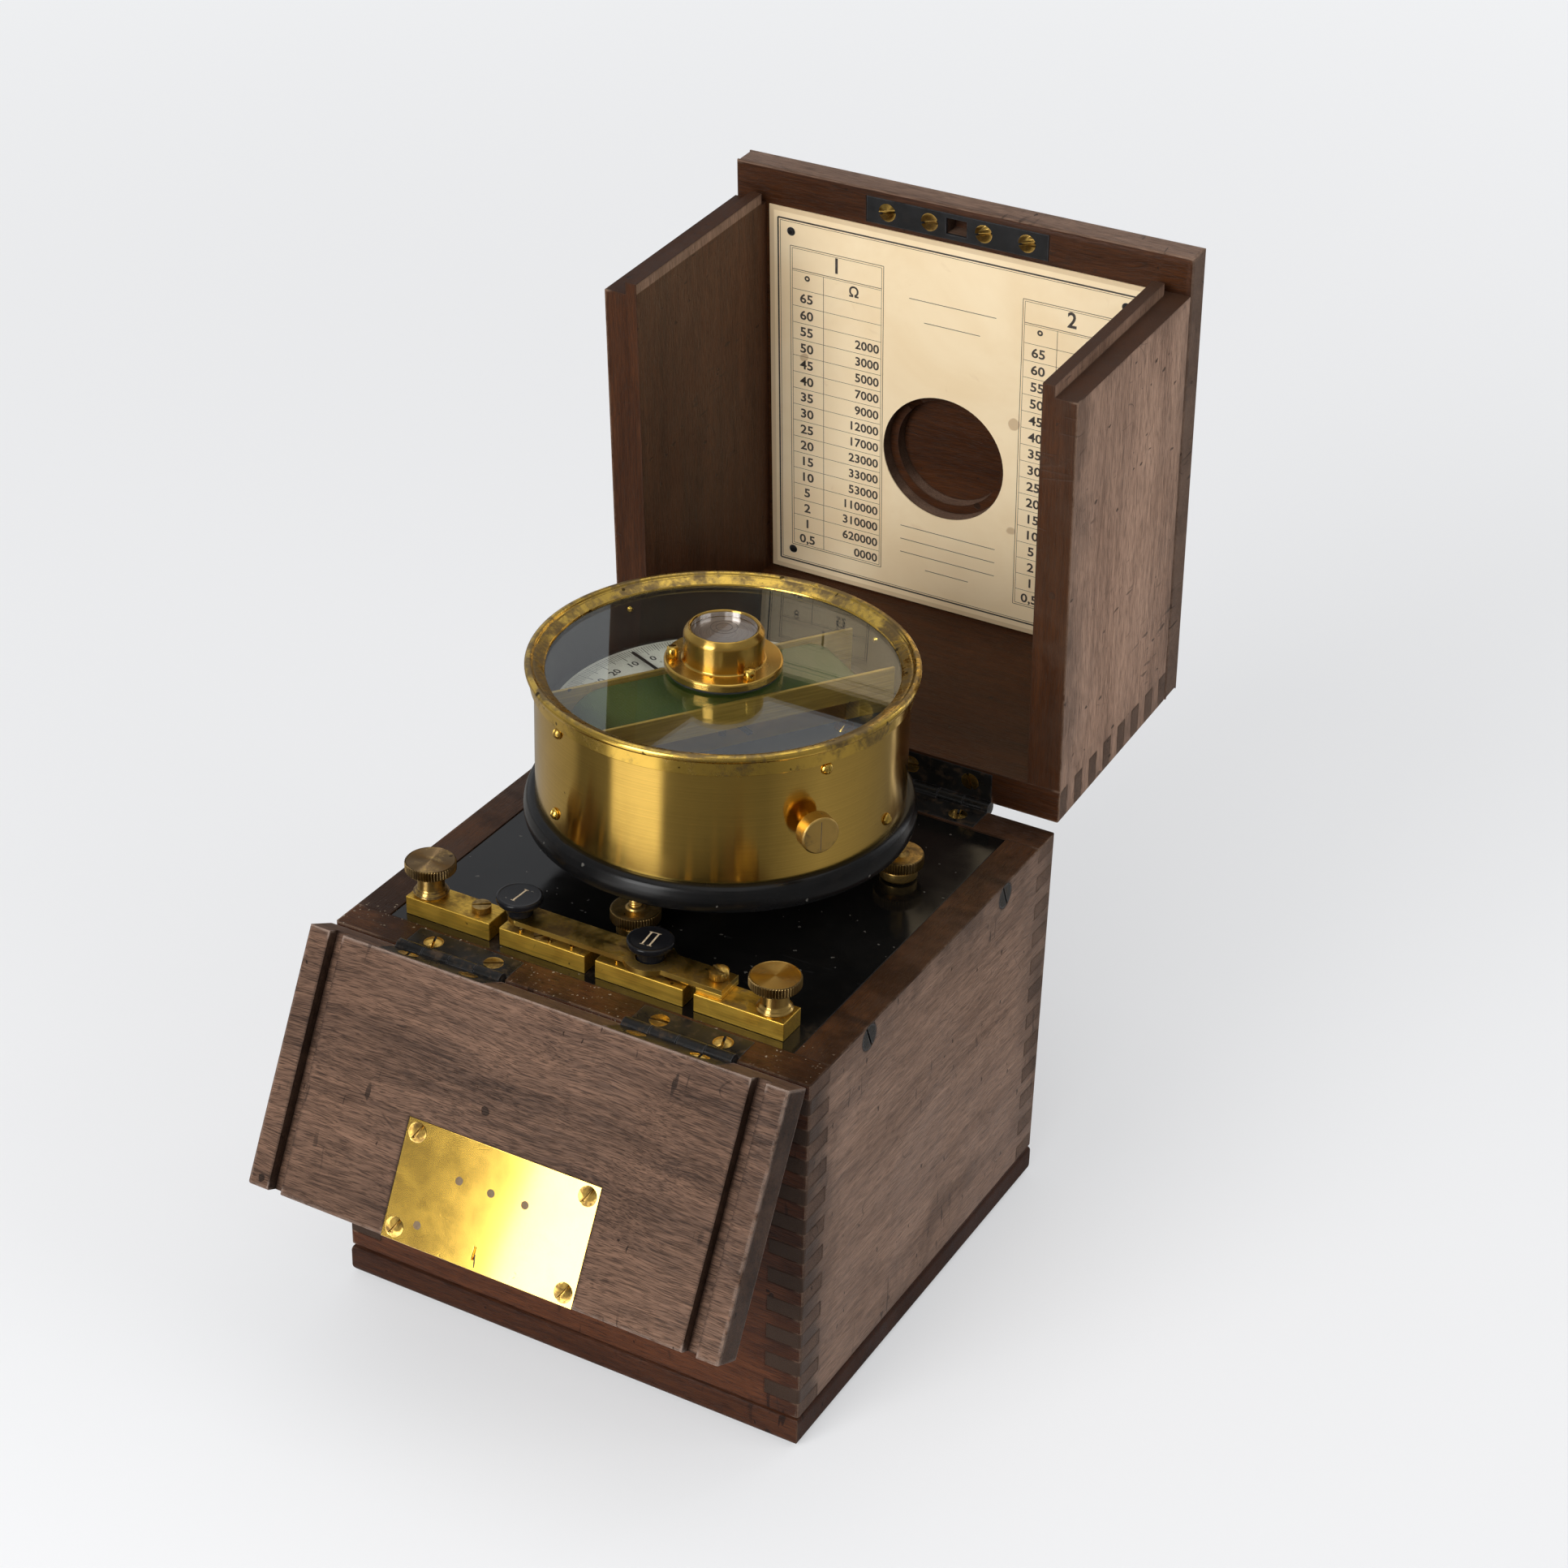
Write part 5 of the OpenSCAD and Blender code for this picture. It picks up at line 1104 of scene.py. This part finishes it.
class TESTER_OT_card(Operator):
    """Aged card in the lid with ruled tables of plain numbers, its nails and the strike plate"""

    bl_idname = "tester.card"
    bl_label = "Card and strike plate"

    def execute(self, context):
        place = LID @ at(0, 0, CARD_FACE) @ Matrix.Diagonal((1, -1, -1, 1))
        painted(paper("card_paper"), "chart_card")
        painted(iron("nail_iron", (0.012, 0.012, 0.012), 0.4, 0.1), "card_nails")
        strike = iron("strike_iron", (0.012, 0.012, 0.0125), 0.4, 0.05)
        dressed("strike_plate", strike, "lid", 0.15)
        black = ink("card_ink", (0.035, 0.026, 0.02))
        rows = 16
        top, first, second, low, pitch = 54.0, 46.0, 39.0, -56.8, 95.8 / rows
        segments, widths, numbers = [], [], []

        def line(x0, y0, x1, y1, width):
            segments.append((x0, y0, x1, y1))
            widths.append(width)

        def frame_lines(x0, y0, x1, y1, width):
            line(x0, y0, x1, y0, width)
            line(x0, y1, x1, y1, width)
            line(x0, y0, x0, y1, width)
            line(x1, y0, x1, y1, width)

        def number(text, x, y, size, width, align="CENTER"):
            numbers.append((text, x, y, 0, size, align, width))

        frame_lines(-64.0, -63.2, 64.0, 63.0, 0.55)
        frame_lines(-63.2, -62.4, 63.2, 62.2, 0.16)
        degrees = "65 60 55 50 45 40 35 30 25 20 15 10 5 2 1 0,5".split()
        ohms = "2000 3000 5000 7000 9000 12000 17000 23000 33000 53000 110000 310000 620000 0000".split()
        for x0, label in ((-59.5, "1"), (24.2, "2")):
            x1 = x0 + 34.2
            left, right = x0 + 0.7, x1 - 0.7
            frame_lines(x0, low, x1, top, 0.2)
            frame_lines(left, low + 0.7, right, top - 0.7, 0.14)
            line(left, first, right, first, 0.2)
            line(left, first - 0.6, right, first - 0.6, 0.12)
            line(x0 + 12.2, first - 0.6, x0 + 12.2, low + 0.7, 0.16)
            for k in range(rows):
                y = second - k * pitch
                line(left, y, right, y, 0.13)
                number(degrees[k], x0 + 5.9, y - pitch * 0.52, 4.5, 1.12)
                if k > 1:
                    number(ohms[k - 2], x1 - 1.4, y - pitch * 0.52, 4.3, 1.04, "RIGHT")
            number(label, x0 + 17.0, (top + first) / 2, 7.5, 0.9)
            number("°", x0 + 6.2, (first + second) / 2 - 1.0, 6.5, 1.0)
            number("Ω", x0 + 23.4, (first + second) / 2 - 0.2, 5.0, 1.0)
        blank = ((45.0, 15.5), (37.5, 10.0), (-38.5, 17.5), (-43.5, 17.5), (-48.5, 17.5), (-53.5, 8.0))
        for y, half in blank:
            line(-half - 0.5, y, half - 0.5, y, 0.22)
        shown(flat_bars("card_rules", segments, widths, place), black, "lid")
        shown(lettered("card_numbers", numbers, place), black, "lid")
        return {"FINISHED"}


# Metal


class TESTER_OT_hinges(Operator):
    """Blackened butt hinges and the slotted brass screws of the case, lid and flap"""

    bl_idname = "tester.hinges"
    bl_label = "Hinges and screws"

    def execute(self, context):
        black = iron("hinge_iron", (0.009, 0.0085, 0.008), 0.3, 0.7)
        for body in ("case", "lid", "flap"):
            dressed("hinge_leaves_" + body, black, body, 0.12)
        dull = tuple(colours().patina)
        screw = brass("screw_brass", (0.6, 0.38, 0.09), dull, 0.45, 160.0, 0.3, spots=0.06)
        screws = {
            "hinge_screws_case": "case", "lid_screws": "lid", "flap_screws": "flap", "row_screws": "case",
        }
        for node, body in screws.items():
            dressed(node, screw, body)
        return {"FINISHED"}


class TESTER_OT_lock(Operator):
    """Brass lock plate with its rivets, the slit over the bolt and the bolt"""

    bl_idname = "tester.lock"
    bl_label = "Lock"

    def execute(self, context):
        plate = brass(
            "plate_brass", (0.8, 0.5, 0.075), (0.5, 0.32, 0.06), 0.03, 130.0, 0.11, spots=0.02, lines=1.0,
            wear=False, mottle=0.3, lacquer=1.0,
        )
        dressed("lock", plate, "flap", 0.18, matrix=FLAP)
        heads = []
        disc = rounded([(0, 0.03), (1.25, 0.03), (1.25, -0.3), (0, -0.3)], 0.05, 3, False)
        for x, z in ((-11.8, 187.5), (-1.0, 187.6), (10.4, 187.3), (-21.6, 204.1)):
            head = turned("rivet", disc, 28, False)
            head.transform(FLAP @ at(x, FLAP_FACE, z) @ spun(-90, "X"))
            heads.append(head)
        rivets = joined("lock_rivets", heads)
        shade(rivets, 40)
        shown(rivets, ink("rivet_grey", (0.14, 0.085, 0.035)), "flap")
        # the slit is no opening but a near-black bar on the plate: painted shade
        place = FLAP @ at(0, FLAP_FACE, 0) @ spun(90, "X")
        slit = flat_bars("lock_slit", [(-1.2, 206.0, -0.6, 209.6)], [0.35], place, -0.03, 0.02)
        shown(slit, ink("slit_painted_shade", (0.01, 0.008, 0.006)), "flap")
        dressed("lock_bolt", iron("bolt_steel", (0.5, 0.48, 0.45), 0.28, 0.15, 1.0), "bolt", 0.2)
        return {"FINISHED"}


class TESTER_OT_panel(Operator):
    """Glossy ebonite panel with dust about the blocks"""

    bl_idname = "tester.panel"
    bl_label = "Panel"

    def execute(self, context):
        near = ((0, -0.058, 0.1307), (0.07, 0.012, 0.01))
        finish = ebonite("panel_ebonite", (0.0045, 0.0043, 0.004), 0.1, 0.06, near)
        dressed("panel", finish, "case", 0.2)
        return {"FINISHED"}


class TESTER_OT_key_row(Operator):
    """Four brass blocks with their contact pins, and both keys"""

    bl_idname = "tester.key_row"
    bl_label = "Blocks and keys"

    def execute(self, context):
        block = brass(
            "block_brass", (0.84, 0.52, 0.075), (0.2, 0.12, 0.04), 0.06, 110.0, 0.33, (60, 1500, 1500), 0.05,
            1.0, 0.4, spread=0.6, streaks=0.5, metal=0.9,
        )
        lever = brass(
            "lever_brass", (0.76, 0.5, 0.11), (0.2, 0.125, 0.045), 0.1, 90.0, 0.3, (40, 1400, 1400), 0.03,
            0.5, 0.4, spread=0.5, streaks=0.25,
        )
        for letter in "abcd":
            dressed("block_" + letter, block, "case", mm(sizes().brass_edge))
        dressed("key_spacer", block, "case", 0.12)
        dressed("lever_1", lever, "key_1", 0.18)
        dressed("leaf_2", plain_brass("leaf_brass", 0.3, 120.0), "key_2")
        pins = plain_brass("pin_brass", 0.2, 160.0, 0.14)
        dressed("contact_pins", pins, "case")
        dressed("terminal_studs", pins, "case")
        return {"FINISHED"}


class TESTER_OT_buttons(Operator):
    """Dished ebonite buttons with inlaid plain numerals of one and two strokes"""

    bl_idname = "tester.buttons"
    bl_label = "Buttons"

    def execute(self, context):
        black = ebonite("button_ebonite", (0.006, 0.006, 0.007), 0.12, 0.04, shine=0.25)
        inlay = ink("numeral_inlay", (0.42, 0.33, 0.22))
        reach, serif = 3.4, 0.7
        for node, body, x, offsets, turn in (
            ("button_1", "key_1", -28.7, (0.0,), -3),
            ("button_2", "key_2", 15.8, (-1.15, 1.15), 6),
        ):
            low, high = heights(node)
            neck = high - 2.5
            outline = [
                (0, low), (3.95, low), (3.95, neck - 0.7), (4.8, neck - 0.05), (6.5, neck + 0.1),
                (7.0, neck + 1.1), (6.9, high - 0.25), (6.35, high), (5.9, high - 0.12), (0, high - 0.3),
            ]
            radii = [0, 0.2, 0.5, 0.5, 0.5, 0.6, 0.3, 0.35, 0.8, 0]
            profile = rounded(outline, radii, 6, False)
            mesh = turned(node + "_turned", profile, 96, False, (x, BUTTON_Y), smooth=60)
            shown(mesh, black, body, (node,), True)
            place = at(x, BUTTON_Y, high - 0.2) @ spun(turn)
            lines = [(o, -reach, o, reach) for o in offsets]
            serifs = [(o - serif, -reach, o + serif, -reach) for o in offsets]
            serifs += [(offsets[0] - serif, reach, offsets[-1] + serif, reach)]
            widths = [0.5] * len(lines) + [0.22] * len(serifs)
            numeral = flat_bars(node + "_numeral", lines + serifs, widths, place, -0.3, 0.04)
            shown(numeral, inlay, body)
        return {"FINISHED"}


class TESTER_OT_terminals(Operator):
    """Knurled terminal nuts with a waisted neck, and their washers"""

    bl_idname = "tester.terminals"
    bl_label = "Terminals"

    def execute(self, context):
        teeth = sizes().nut_teeth
        washer = plain_brass("washer_brass", 0.3, 150.0)
        for side, x, amount, top_dull in (("left", -59.3, 0.45, 0.25), ("right", 57.3, 0.2, 0.05)):
            node = "nut_" + side
            low, high = heights(node)
            head = high - 3.4
            outline = [
                (0, low), (5.3, low), (5.45, low + 0.5), (4.9, low + 0.9), (4.75, low + 1.5),
                (4.1, low + 2.0), (3.9, head - 0.5), (4.3, head), (7.2, head), (7.7, head + 0.4),
                (7.7, high - 0.45), (7.25, high), (6.9, high - 0.12), (0, high - 0.12),
            ]
            radii = [0, 0.2, 0.2, 0.2, 0.3, 0.7, 0.4, 0.2, 0.1, 0.1, 0.1, 0.1, 0.1, 0]
            mesh = turned(
                node + "_turned", rounded(outline, radii, 4, False), teeth * 6, False, (x, NUT_Y),
                (head + 0.3, high - 0.35, teeth, 0.42), 40,
            )
            finish = brass(
                node + "_brass", (0.66, 0.43, 0.13), (0.27, 0.18, 0.09), amount, 150.0, 0.3,
                (1900, 60, 60), 0.05, 0.3, top_dull, False, (x, NUT_Y, 0), spread=0.9, grip=KNURL_ROOT,
            )
            shown(mesh, finish, side + "_nut", (node,), True)
            dressed("washer_" + side, washer, side + "_washer")
        return {"FINISHED"}


class TESTER_OT_feet(Operator):
    """Levelling screws: stepped hub, knurled disc and threaded stem"""

    bl_idname = "tester.feet"
    bl_label = "Levelling screws"

    def execute(self, context):
        teeth = sizes().foot_teeth
        for way in ("front", "right", "left"):
            node = f"foot_{way}_screw"
            low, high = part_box(node)
            x, y = (low.x + high.x) * 500, (low.y + high.y) * 500
            bottom, top = low.z * 1000, high.z * 1000
            outline = [
                (0, bottom), (5.0, bottom), (5.8, bottom + 0.7), (5.8, 134.2), (5.2, 134.9),
                (7.0, 135.1), (7.6, 135.5), (7.6, 138.7), (7.2, 139.1), (3.0, 139.1),
                (2.6, 139.8), (1.9, 140.2), (0, 140.2),
            ]
            disc = turned(
                node + "_disc", rounded(outline, 0.3, 4, False), teeth * 6, False, (x, y),
                (135.3, 138.9, teeth, 0.42), 40,
            )
            stem = threaded(node + "_thread", 2.0, 0.22, 0.8, 139.9, top, (x, y))
            mesh = joined(node + "_turned", (disc, stem))
            shade(mesh, 40)
            finish = brass(
                node + "_brass", (0.66, 0.43, 0.13), (0.3, 0.2, 0.09), 0.35, 150.0, 0.36,
                (1900, 60, 60), 0.04, 0.2, 0.1, False, (x, y, 0), grip=KNURL_ROOT,
            )
            shown(mesh, finish, way + "_foot", (node,), True)
        return {"FINISHED"}


class TESTER_OT_galvo_shell(Operator):
    """Galvanometer's base disc, brushed drum, rolled bezel, cover glass, small screws and arrest knob"""

    bl_idname = "tester.galvo_shell"
    bl_label = "Galvanometer shell"

    def execute(self, context):
        base = rounded(
            [
                (0, 151), (57.2, 151), (58.8, 151.6), (59.3, 153.4), (59.3, 155.4), (58.4, 158.4),
                (56.9, 159.5), (0, 159.5),
            ],
            [0, 0.5, 0.8, 1.2, 2.0, 1.4, 0.6, 0], 7, False,
        )
        black = ebonite("base_ebonite", (0.0035, 0.0035, 0.0036), 0.22, 0.008, shine=0.25)
        disc = turned("galvo_base_turned", base, 220, False, AXIS, smooth=50)
        shown(disc, black, "case", ("galvo_base",), True)
        wall = rounded([(55.7, 159.5), (55.7, 200), (54.5, 200), (54.5, 159.5)], 0.15, 3)
        # within radius 55.2 the drum is painted near black: its dark inner finish deepened into painted shade
        drum = brass(
            "drum_brass", (0.80, 0.52, 0.12), (0.42, 0.29, 0.12), 0.1, 26.0, 0.14, (20, 2300, 8), 0.01, 0.35,
            wear=False, centre=(*AXIS, 0), spread=0.9, black_and_shade_radius=55.2, streaks=0.3,
        )
        shown(turned("drum_turned", wall, 256, True, AXIS), drum, "case", ("drum",), True)
        lip = rounded(
            [
                (56.95, 195.8), (56.95, 200.1), (58.3, 200.6), (58.5, 201.9), (57.7, 202.8), (56.5, 202.75),
                (55.9, 201.9), (55.3, 201.75), (52.7, 200.6), (52.4, 200.05), (55.75, 200.05), (55.75, 195.8),
            ],
            [0.2, 0.3, 0.6, 0.7, 0.7, 0.6, 0.25, 0.2, 0.25, 0.1, 0.1, 0.1], 6,
        )
        spotted = brass(
            "bezel_brass", (0.84, 0.55, 0.11), (0.26, 0.18, 0.08), 0.38, 95.0, 0.16, None, 0.22, 0.3,
            0.14, False,
        )
        bezel = turned("bezel_turned", lip, 256, True, AXIS, smooth=50)
        shown(bezel, spotted, "case", ("bezel",), True)
        painted(glass("cover_glass"), "cover_glass")
        small = plain_brass("small_screw_brass", 0.3, 200.0, 0.16, spots=0.04)
        dressed("galvo_screws", small, "case")
        knob = brass("arrest_brass", (0.68, 0.44, 0.13), (0.3, 0.2, 0.09), 0.3, 150.0, 0.32)
        stem = [(0, 53.6), (1.2, 53.6), (1.2, 57.0), (2.0, 57.6), (2.0, 59.4)]
        head = [(5.4, 59.4), (5.8, 59.8), (5.8, 63.9), (5.35, KNOB_END), (0, KNOB_END)]
        outline = rounded(stem + head, [0, 0, 0.2, 0.2, 0.1, 0.1, 0.1, 0.1, 0.15, 0], 4, False)
        mesh = turned("arrest_knob_turned", outline, 288, False, (0, 0), (59.9, 63.8, 48, 0.36), 40)
        way = spun(KNOB_WAY) @ spun(90, "Y")
        mesh.transform(at(*AXIS, KNOB_HEIGHT) @ way)
        shown(mesh, knob, "arrest", ("arrest_knob",), True)
        # a dark bar across the knob's end stands in for the groove in its face: painted shade
        place = at(*AXIS, KNOB_HEIGHT) @ way @ at(0, 0, KNOB_END)
        mark = flat_bars("arrest_groove_shade", [(-4.6, 0.0, 4.6, 0.0)], [0.22], place, -0.05, 0.02)
        shown(mark, ink("groove_painted_shade", (0.05, 0.03, 0.015)), "arrest")
        return {"FINISHED"}


class TESTER_OT_winding(Operator):
    """Coil: brass cheeks, silk-covered layer laid as a helix round its long outline, over a full silk core"""

    bl_idname = "tester.winding"
    bl_label = "Coil and winding"

    def execute(self, context):
        cheek = brass(
            "cheek_brass", (0.62, 0.4, 0.08), (0.4, 0.26, 0.06), 0.2, 60.0, 0.36, (60, 60, 1500), 0.03, 0.4,
            metal=0.7, streaks=0.5,
        )
        dressed("coil_former", cheek, "case", 0.15)
        place = at(*AXIS, COIL_MIDDLE) @ spun(COIL_WAY)
        straight, radius, wide = 33.0, 11.9, 25.0
        turns = sizes().winding_turns
        wire = 0.49 * wide / turns
        per_turn, sides = 64, 8
        arc = math.pi * radius

        def outline(fraction, r):
            """Point of the long round-ended outline at that fraction of its length, and the way out of it."""
            d = (fraction % 1.0) * (4 * straight + 2 * arc)
            pieces = [d < 2 * straight, d < 2 * straight + arc, d < 4 * straight + arc]
            x = np.select(pieces, [straight - d, -straight - 0 * d, d - 3 * straight - arc], straight + 0 * d)
            half = math.pi / 2
            first, second = -half - (d - 2 * straight) / radius, half - (d - 4 * straight - arc) / radius
            turn = np.select(pieces, [-half + 0 * d, first, half + 0 * d], second)
            out = np.stack([np.cos(turn), 0 * turn, np.sin(turn)], -1)
            return np.stack([x, 0 * x, 0 * x], -1) + r[..., None] * out, out

        t = np.arange(turns * per_turn + 1) / per_turn
        path, out = outline(t, radius + 0 * t)
        path[:, 1] = -wide / 2 + wire + (wide - 2 * wire) * t / turns
        a = np.linspace(0, 2 * math.pi, sides, endpoint=False)
        across = np.array([0.0, 1.0, 0.0])
        ring = np.cos(a)[None, :, None] * out[:, None, :] + np.sin(a)[None, :, None] * across
        points = path[:, None, :] + wire * 1.02 * ring
        count = len(t) * sides
        last = count - sides
        caps = [[(k + 1) % sides, k, count] for k in range(sides)]
        caps += [[last + k, last + (k + 1) % sides, count + 1] for k in range(sides)]
        every = np.concatenate([points.reshape(-1, 3), np.array([path[0], path[-1]])]) * MM
        mesh = bpy.data.meshes.new("coil_winding_laid")
        mesh.from_pydata(every.tolist(), [], grid_faces(len(t), sides, False, True).tolist() + caps)
        reworked(mesh, lambda bm: bmesh.ops.recalc_face_normals(bm, faces=bm.faces))
        mesh.transform(place)
        shade(mesh, 60)
        green = silk("green_silk", (0.026, 0.055, 0.003), (0.045, 0.07, 0.004))
        shown(mesh, green, "case", ("coil_winding",))
        u = np.linspace(0, 1, 96, endpoint=False)
        rows = []
        end = wide / 2 + 0.3
        for r, y in ((9.0, -end), (radius - 0.1, -end), (radius - 0.1, end), (9.0, end)):
            row, _ = outline(u, r + 0 * u)
            row[:, 1] = y
            rows.append(row)
        core = mesh_of("silk_core", np.concatenate(rows), grid_faces(4, 96, True, True), 40)
        core.transform(place)
        shown(core, green, "case")
        return {"FINISHED"}


class TESTER_OT_dial(Operator):
    """Black floor plate, silvered scale with engraved divisions and numbers, needle and pivot"""

    bl_idname = "tester.dial"
    bl_label = "Scale and needle"

    def execute(self, context):
        painted(ebonite("floor_plate_black", (0.014, 0.014, 0.013), 0.4, 0.3), "inner_plate")
        silver = cloudy(
            "silvered_scale", (0.72, 0.69, 0.6), (0.6, 0.57, 0.49), 70.0, 4.0, (0.45, 0.6), spots=0.06
        )
        painted(silver, "scale_plate")
        black = ink("scale_ink", (0.02, 0.02, 0.02))
        zero = sizes().scale_zero
        k = np.arange(-63, 64)
        a = zero + np.radians(k)
        tall, middle, short, number_reach = 5.4, 4.4, 3.4, 42.6
        inner = SCALE_REACH - np.where(k % 10 == 0, tall, np.where(k % 5 == 0, middle, short))
        way = np.stack([np.cos(a), np.sin(a)], 1)
        lines = np.concatenate([way * inner[:, None], way * SCALE_REACH], 1)
        place = at(*AXIS, SCALE_TOP)
        marks = flat_bars("scale_divisions", lines, np.where(k % 5 == 0, 0.22, 0.14), place, -0.02, 0.02)
        shown(marks, black, "case")
        numbers = []
        for value in range(-60, 61, 10):
            turn = zero + math.radians(value)
            x, y = number_reach * math.cos(turn), number_reach * math.sin(turn)
            numbers.append((str(abs(value)), x, y, turn - math.pi / 2, 3.7, "CENTER", 1.05))
        shown(lettered("scale_numbers", numbers, place), black, "case")
        dressed("needle", iron("needle_black", (0.012, 0.012, 0.013), 0.4, 0.0), "needle")
        dressed("pivot_post", iron("pivot_steel", (0.5, 0.5, 0.5), 0.25, 0.05, 1.0), "case")
        return {"FINISHED"}


class TESTER_OT_level(Operator):
    """Round spirit level: dark gasket, flanged brass cup, glass with two rings, and its bed"""

    bl_idname = "tester.level"
    bl_label = "Spirit level"

    def execute(self, context):
        low, high = heights("level_cup")
        cup = rounded(
            [
                (9.9, low + 3.0), (9.9, high - 0.5), (10.2, high), (10.7, high), (12.0, high - 1.7),
                (12.0, low + 3.7), (12.4, low + 3.3), (17.2, low + 3.3), (17.6, low + 2.9),
                (17.6, low + 1.0), (17.2, low + 0.7), (9.0, low + 0.7), (9.0, low + 3.0),
            ],
            [0.1, 0.2, 0.15, 0.3, 0.8, 0.3, 0.3, 0.3, 0.3, 0.2, 0.2, 0.1, 0.1], 6,
        )
        shine = brass(
            "level_brass", (0.66, 0.42, 0.1), (0.36, 0.23, 0.08), 0.1, 50.0, 0.22, (1500, 1500, 40), 0.02,
            0.2, 0.2, False, (*AXIS, 0), spread=0.85,
        )
        mesh = turned("level_cup_turned", cup, 200, True, AXIS, smooth=40)
        shown(mesh, shine, "case", ("level_cup",), True)
        gasket = [(8.0, low), (17.0, low), (17.1, low + 0.35), (17.0, low + 0.7), (8.0, low + 0.7)]
        rubber = ebonite("gasket_black", (0.015, 0.015, 0.014), 0.6, 0.2)
        shown(turned("level_gasket", rounded(gasket, 0.1, 3), 120, True, AXIS), rubber, "case")
        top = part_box("level_glass")[1].z * 1000
        painted(glass("level_glass", (0.9, 0.88, 0.86)), "level_glass")

        def spirit(g, shader, vector, normal):
            v = g.mapped(vector, Location=toned((*AXIS, 0), -MM))
            rings = g.noise(g.add("CombineXYZ", {0: g.reach(v)}).outputs[0], 2600.0, 3.0, 0.6)
            base = g.blend(g.span(rings, 0.3, 0.7), (0.3, 0.24, 0.19), (0.17, 0.13, 0.1))
            g.fill(shader, Base_Color=base, Metallic=0.3, Roughness=g.span(rings, 0.3, 0.7, 0.3, 0.45))

        bed = rounded([(0, low + 8.0), (9.7, low + 8.0), (9.8, low + 9.4), (0, low + 9.1)], 0.2, 3, False)
        shown(turned("level_bed", bed, 96, False, AXIS), material("level_spirit", spirit), "case")
        corners = ((-0.07, -0.05), (0.07, -0.05), (0.07, 0.03), (-0.07, 0.03))
        rings = []
        for r in (2.4, 4.0):
            rings.append(turned("ring", [(r + x, top + z) for x, z in corners], 72, True, AXIS))
        shown(joined("level_rings", rings), ink("ring_ink", (0.03, 0.025, 0.02)), "case")
        return {"FINISHED"}


class TESTER_OT_insides(Operator):
    """What the case holds below the panel: centre bolt, resistance bobbins and the battery"""

    bl_idname = "tester.insides"
    bl_label = "Insides"

    def execute(self, context):
        painted(plain_brass("bolt_brass", 0.3, 90.0, 0.25, wear=False), "centre_bolt")
        painted(silk("bobbin_silk", (0.05, 0.08, 0.02), (0.07, 0.09, 0.03)), "resistance_bobbins")
        zinc = cloudy("cell_zinc", (0.42, 0.42, 0.43), (0.28, 0.28, 0.29), 45.0, 5.0, (0.35, 0.55), 1.0)
        painted(zinc, "battery")
        return {"FINISHED"}


# Panel in the sidebar

OPERATORS = (
    TESTER_OT_stage,
    TESTER_OT_case,
    TESTER_OT_lid,
    TESTER_OT_flap,
    TESTER_OT_card,
    TESTER_OT_hinges,
    TESTER_OT_lock,
    TESTER_OT_panel,
    TESTER_OT_key_row,
    TESTER_OT_buttons,
    TESTER_OT_terminals,
    TESTER_OT_feet,
    TESTER_OT_galvo_shell,
    TESTER_OT_winding,
    TESTER_OT_dial,
    TESTER_OT_level,
    TESTER_OT_insides,
)


class TESTER_PT_pieces(Panel):
    """Lists the tester's sizes, colours and pieces"""

    bl_idname = "TESTER_PT_pieces"
    bl_label = "Insulation tester"
    bl_space_type = "VIEW_3D"
    bl_region_type = "UI"
    bl_category = "Tester"

    def draw(self, context):
        for holder in (sizes(), colours()):
            box = self.layout.box()
            for name in holder.__annotations__:
                box.prop(holder, name)
        for operator in OPERATORS:
            self.layout.operator(operator.bl_idname)


CLASSES = (TesterSizes, TesterColours, *OPERATORS, TESTER_PT_pieces)


def register():
    for cls in CLASSES:
        bpy.utils.register_class(cls)
    bpy.types.Scene.tester_sizes = PointerProperty(type=TesterSizes)
    bpy.types.Scene.tester_colours = PointerProperty(type=TesterColours)


def unregister():
    del bpy.types.Scene.tester_colours
    del bpy.types.Scene.tester_sizes
    for cls in reversed(CLASSES):
        bpy.utils.unregister_class(cls)


def main():
    """Makes every piece in order and writes the box before and after."""
    register()
    for operator in OPERATORS:
        family, name = operator.bl_idname.split(".")
        getattr(getattr(bpy.ops, family), name)()


if __name__ == "__main__":
    main()
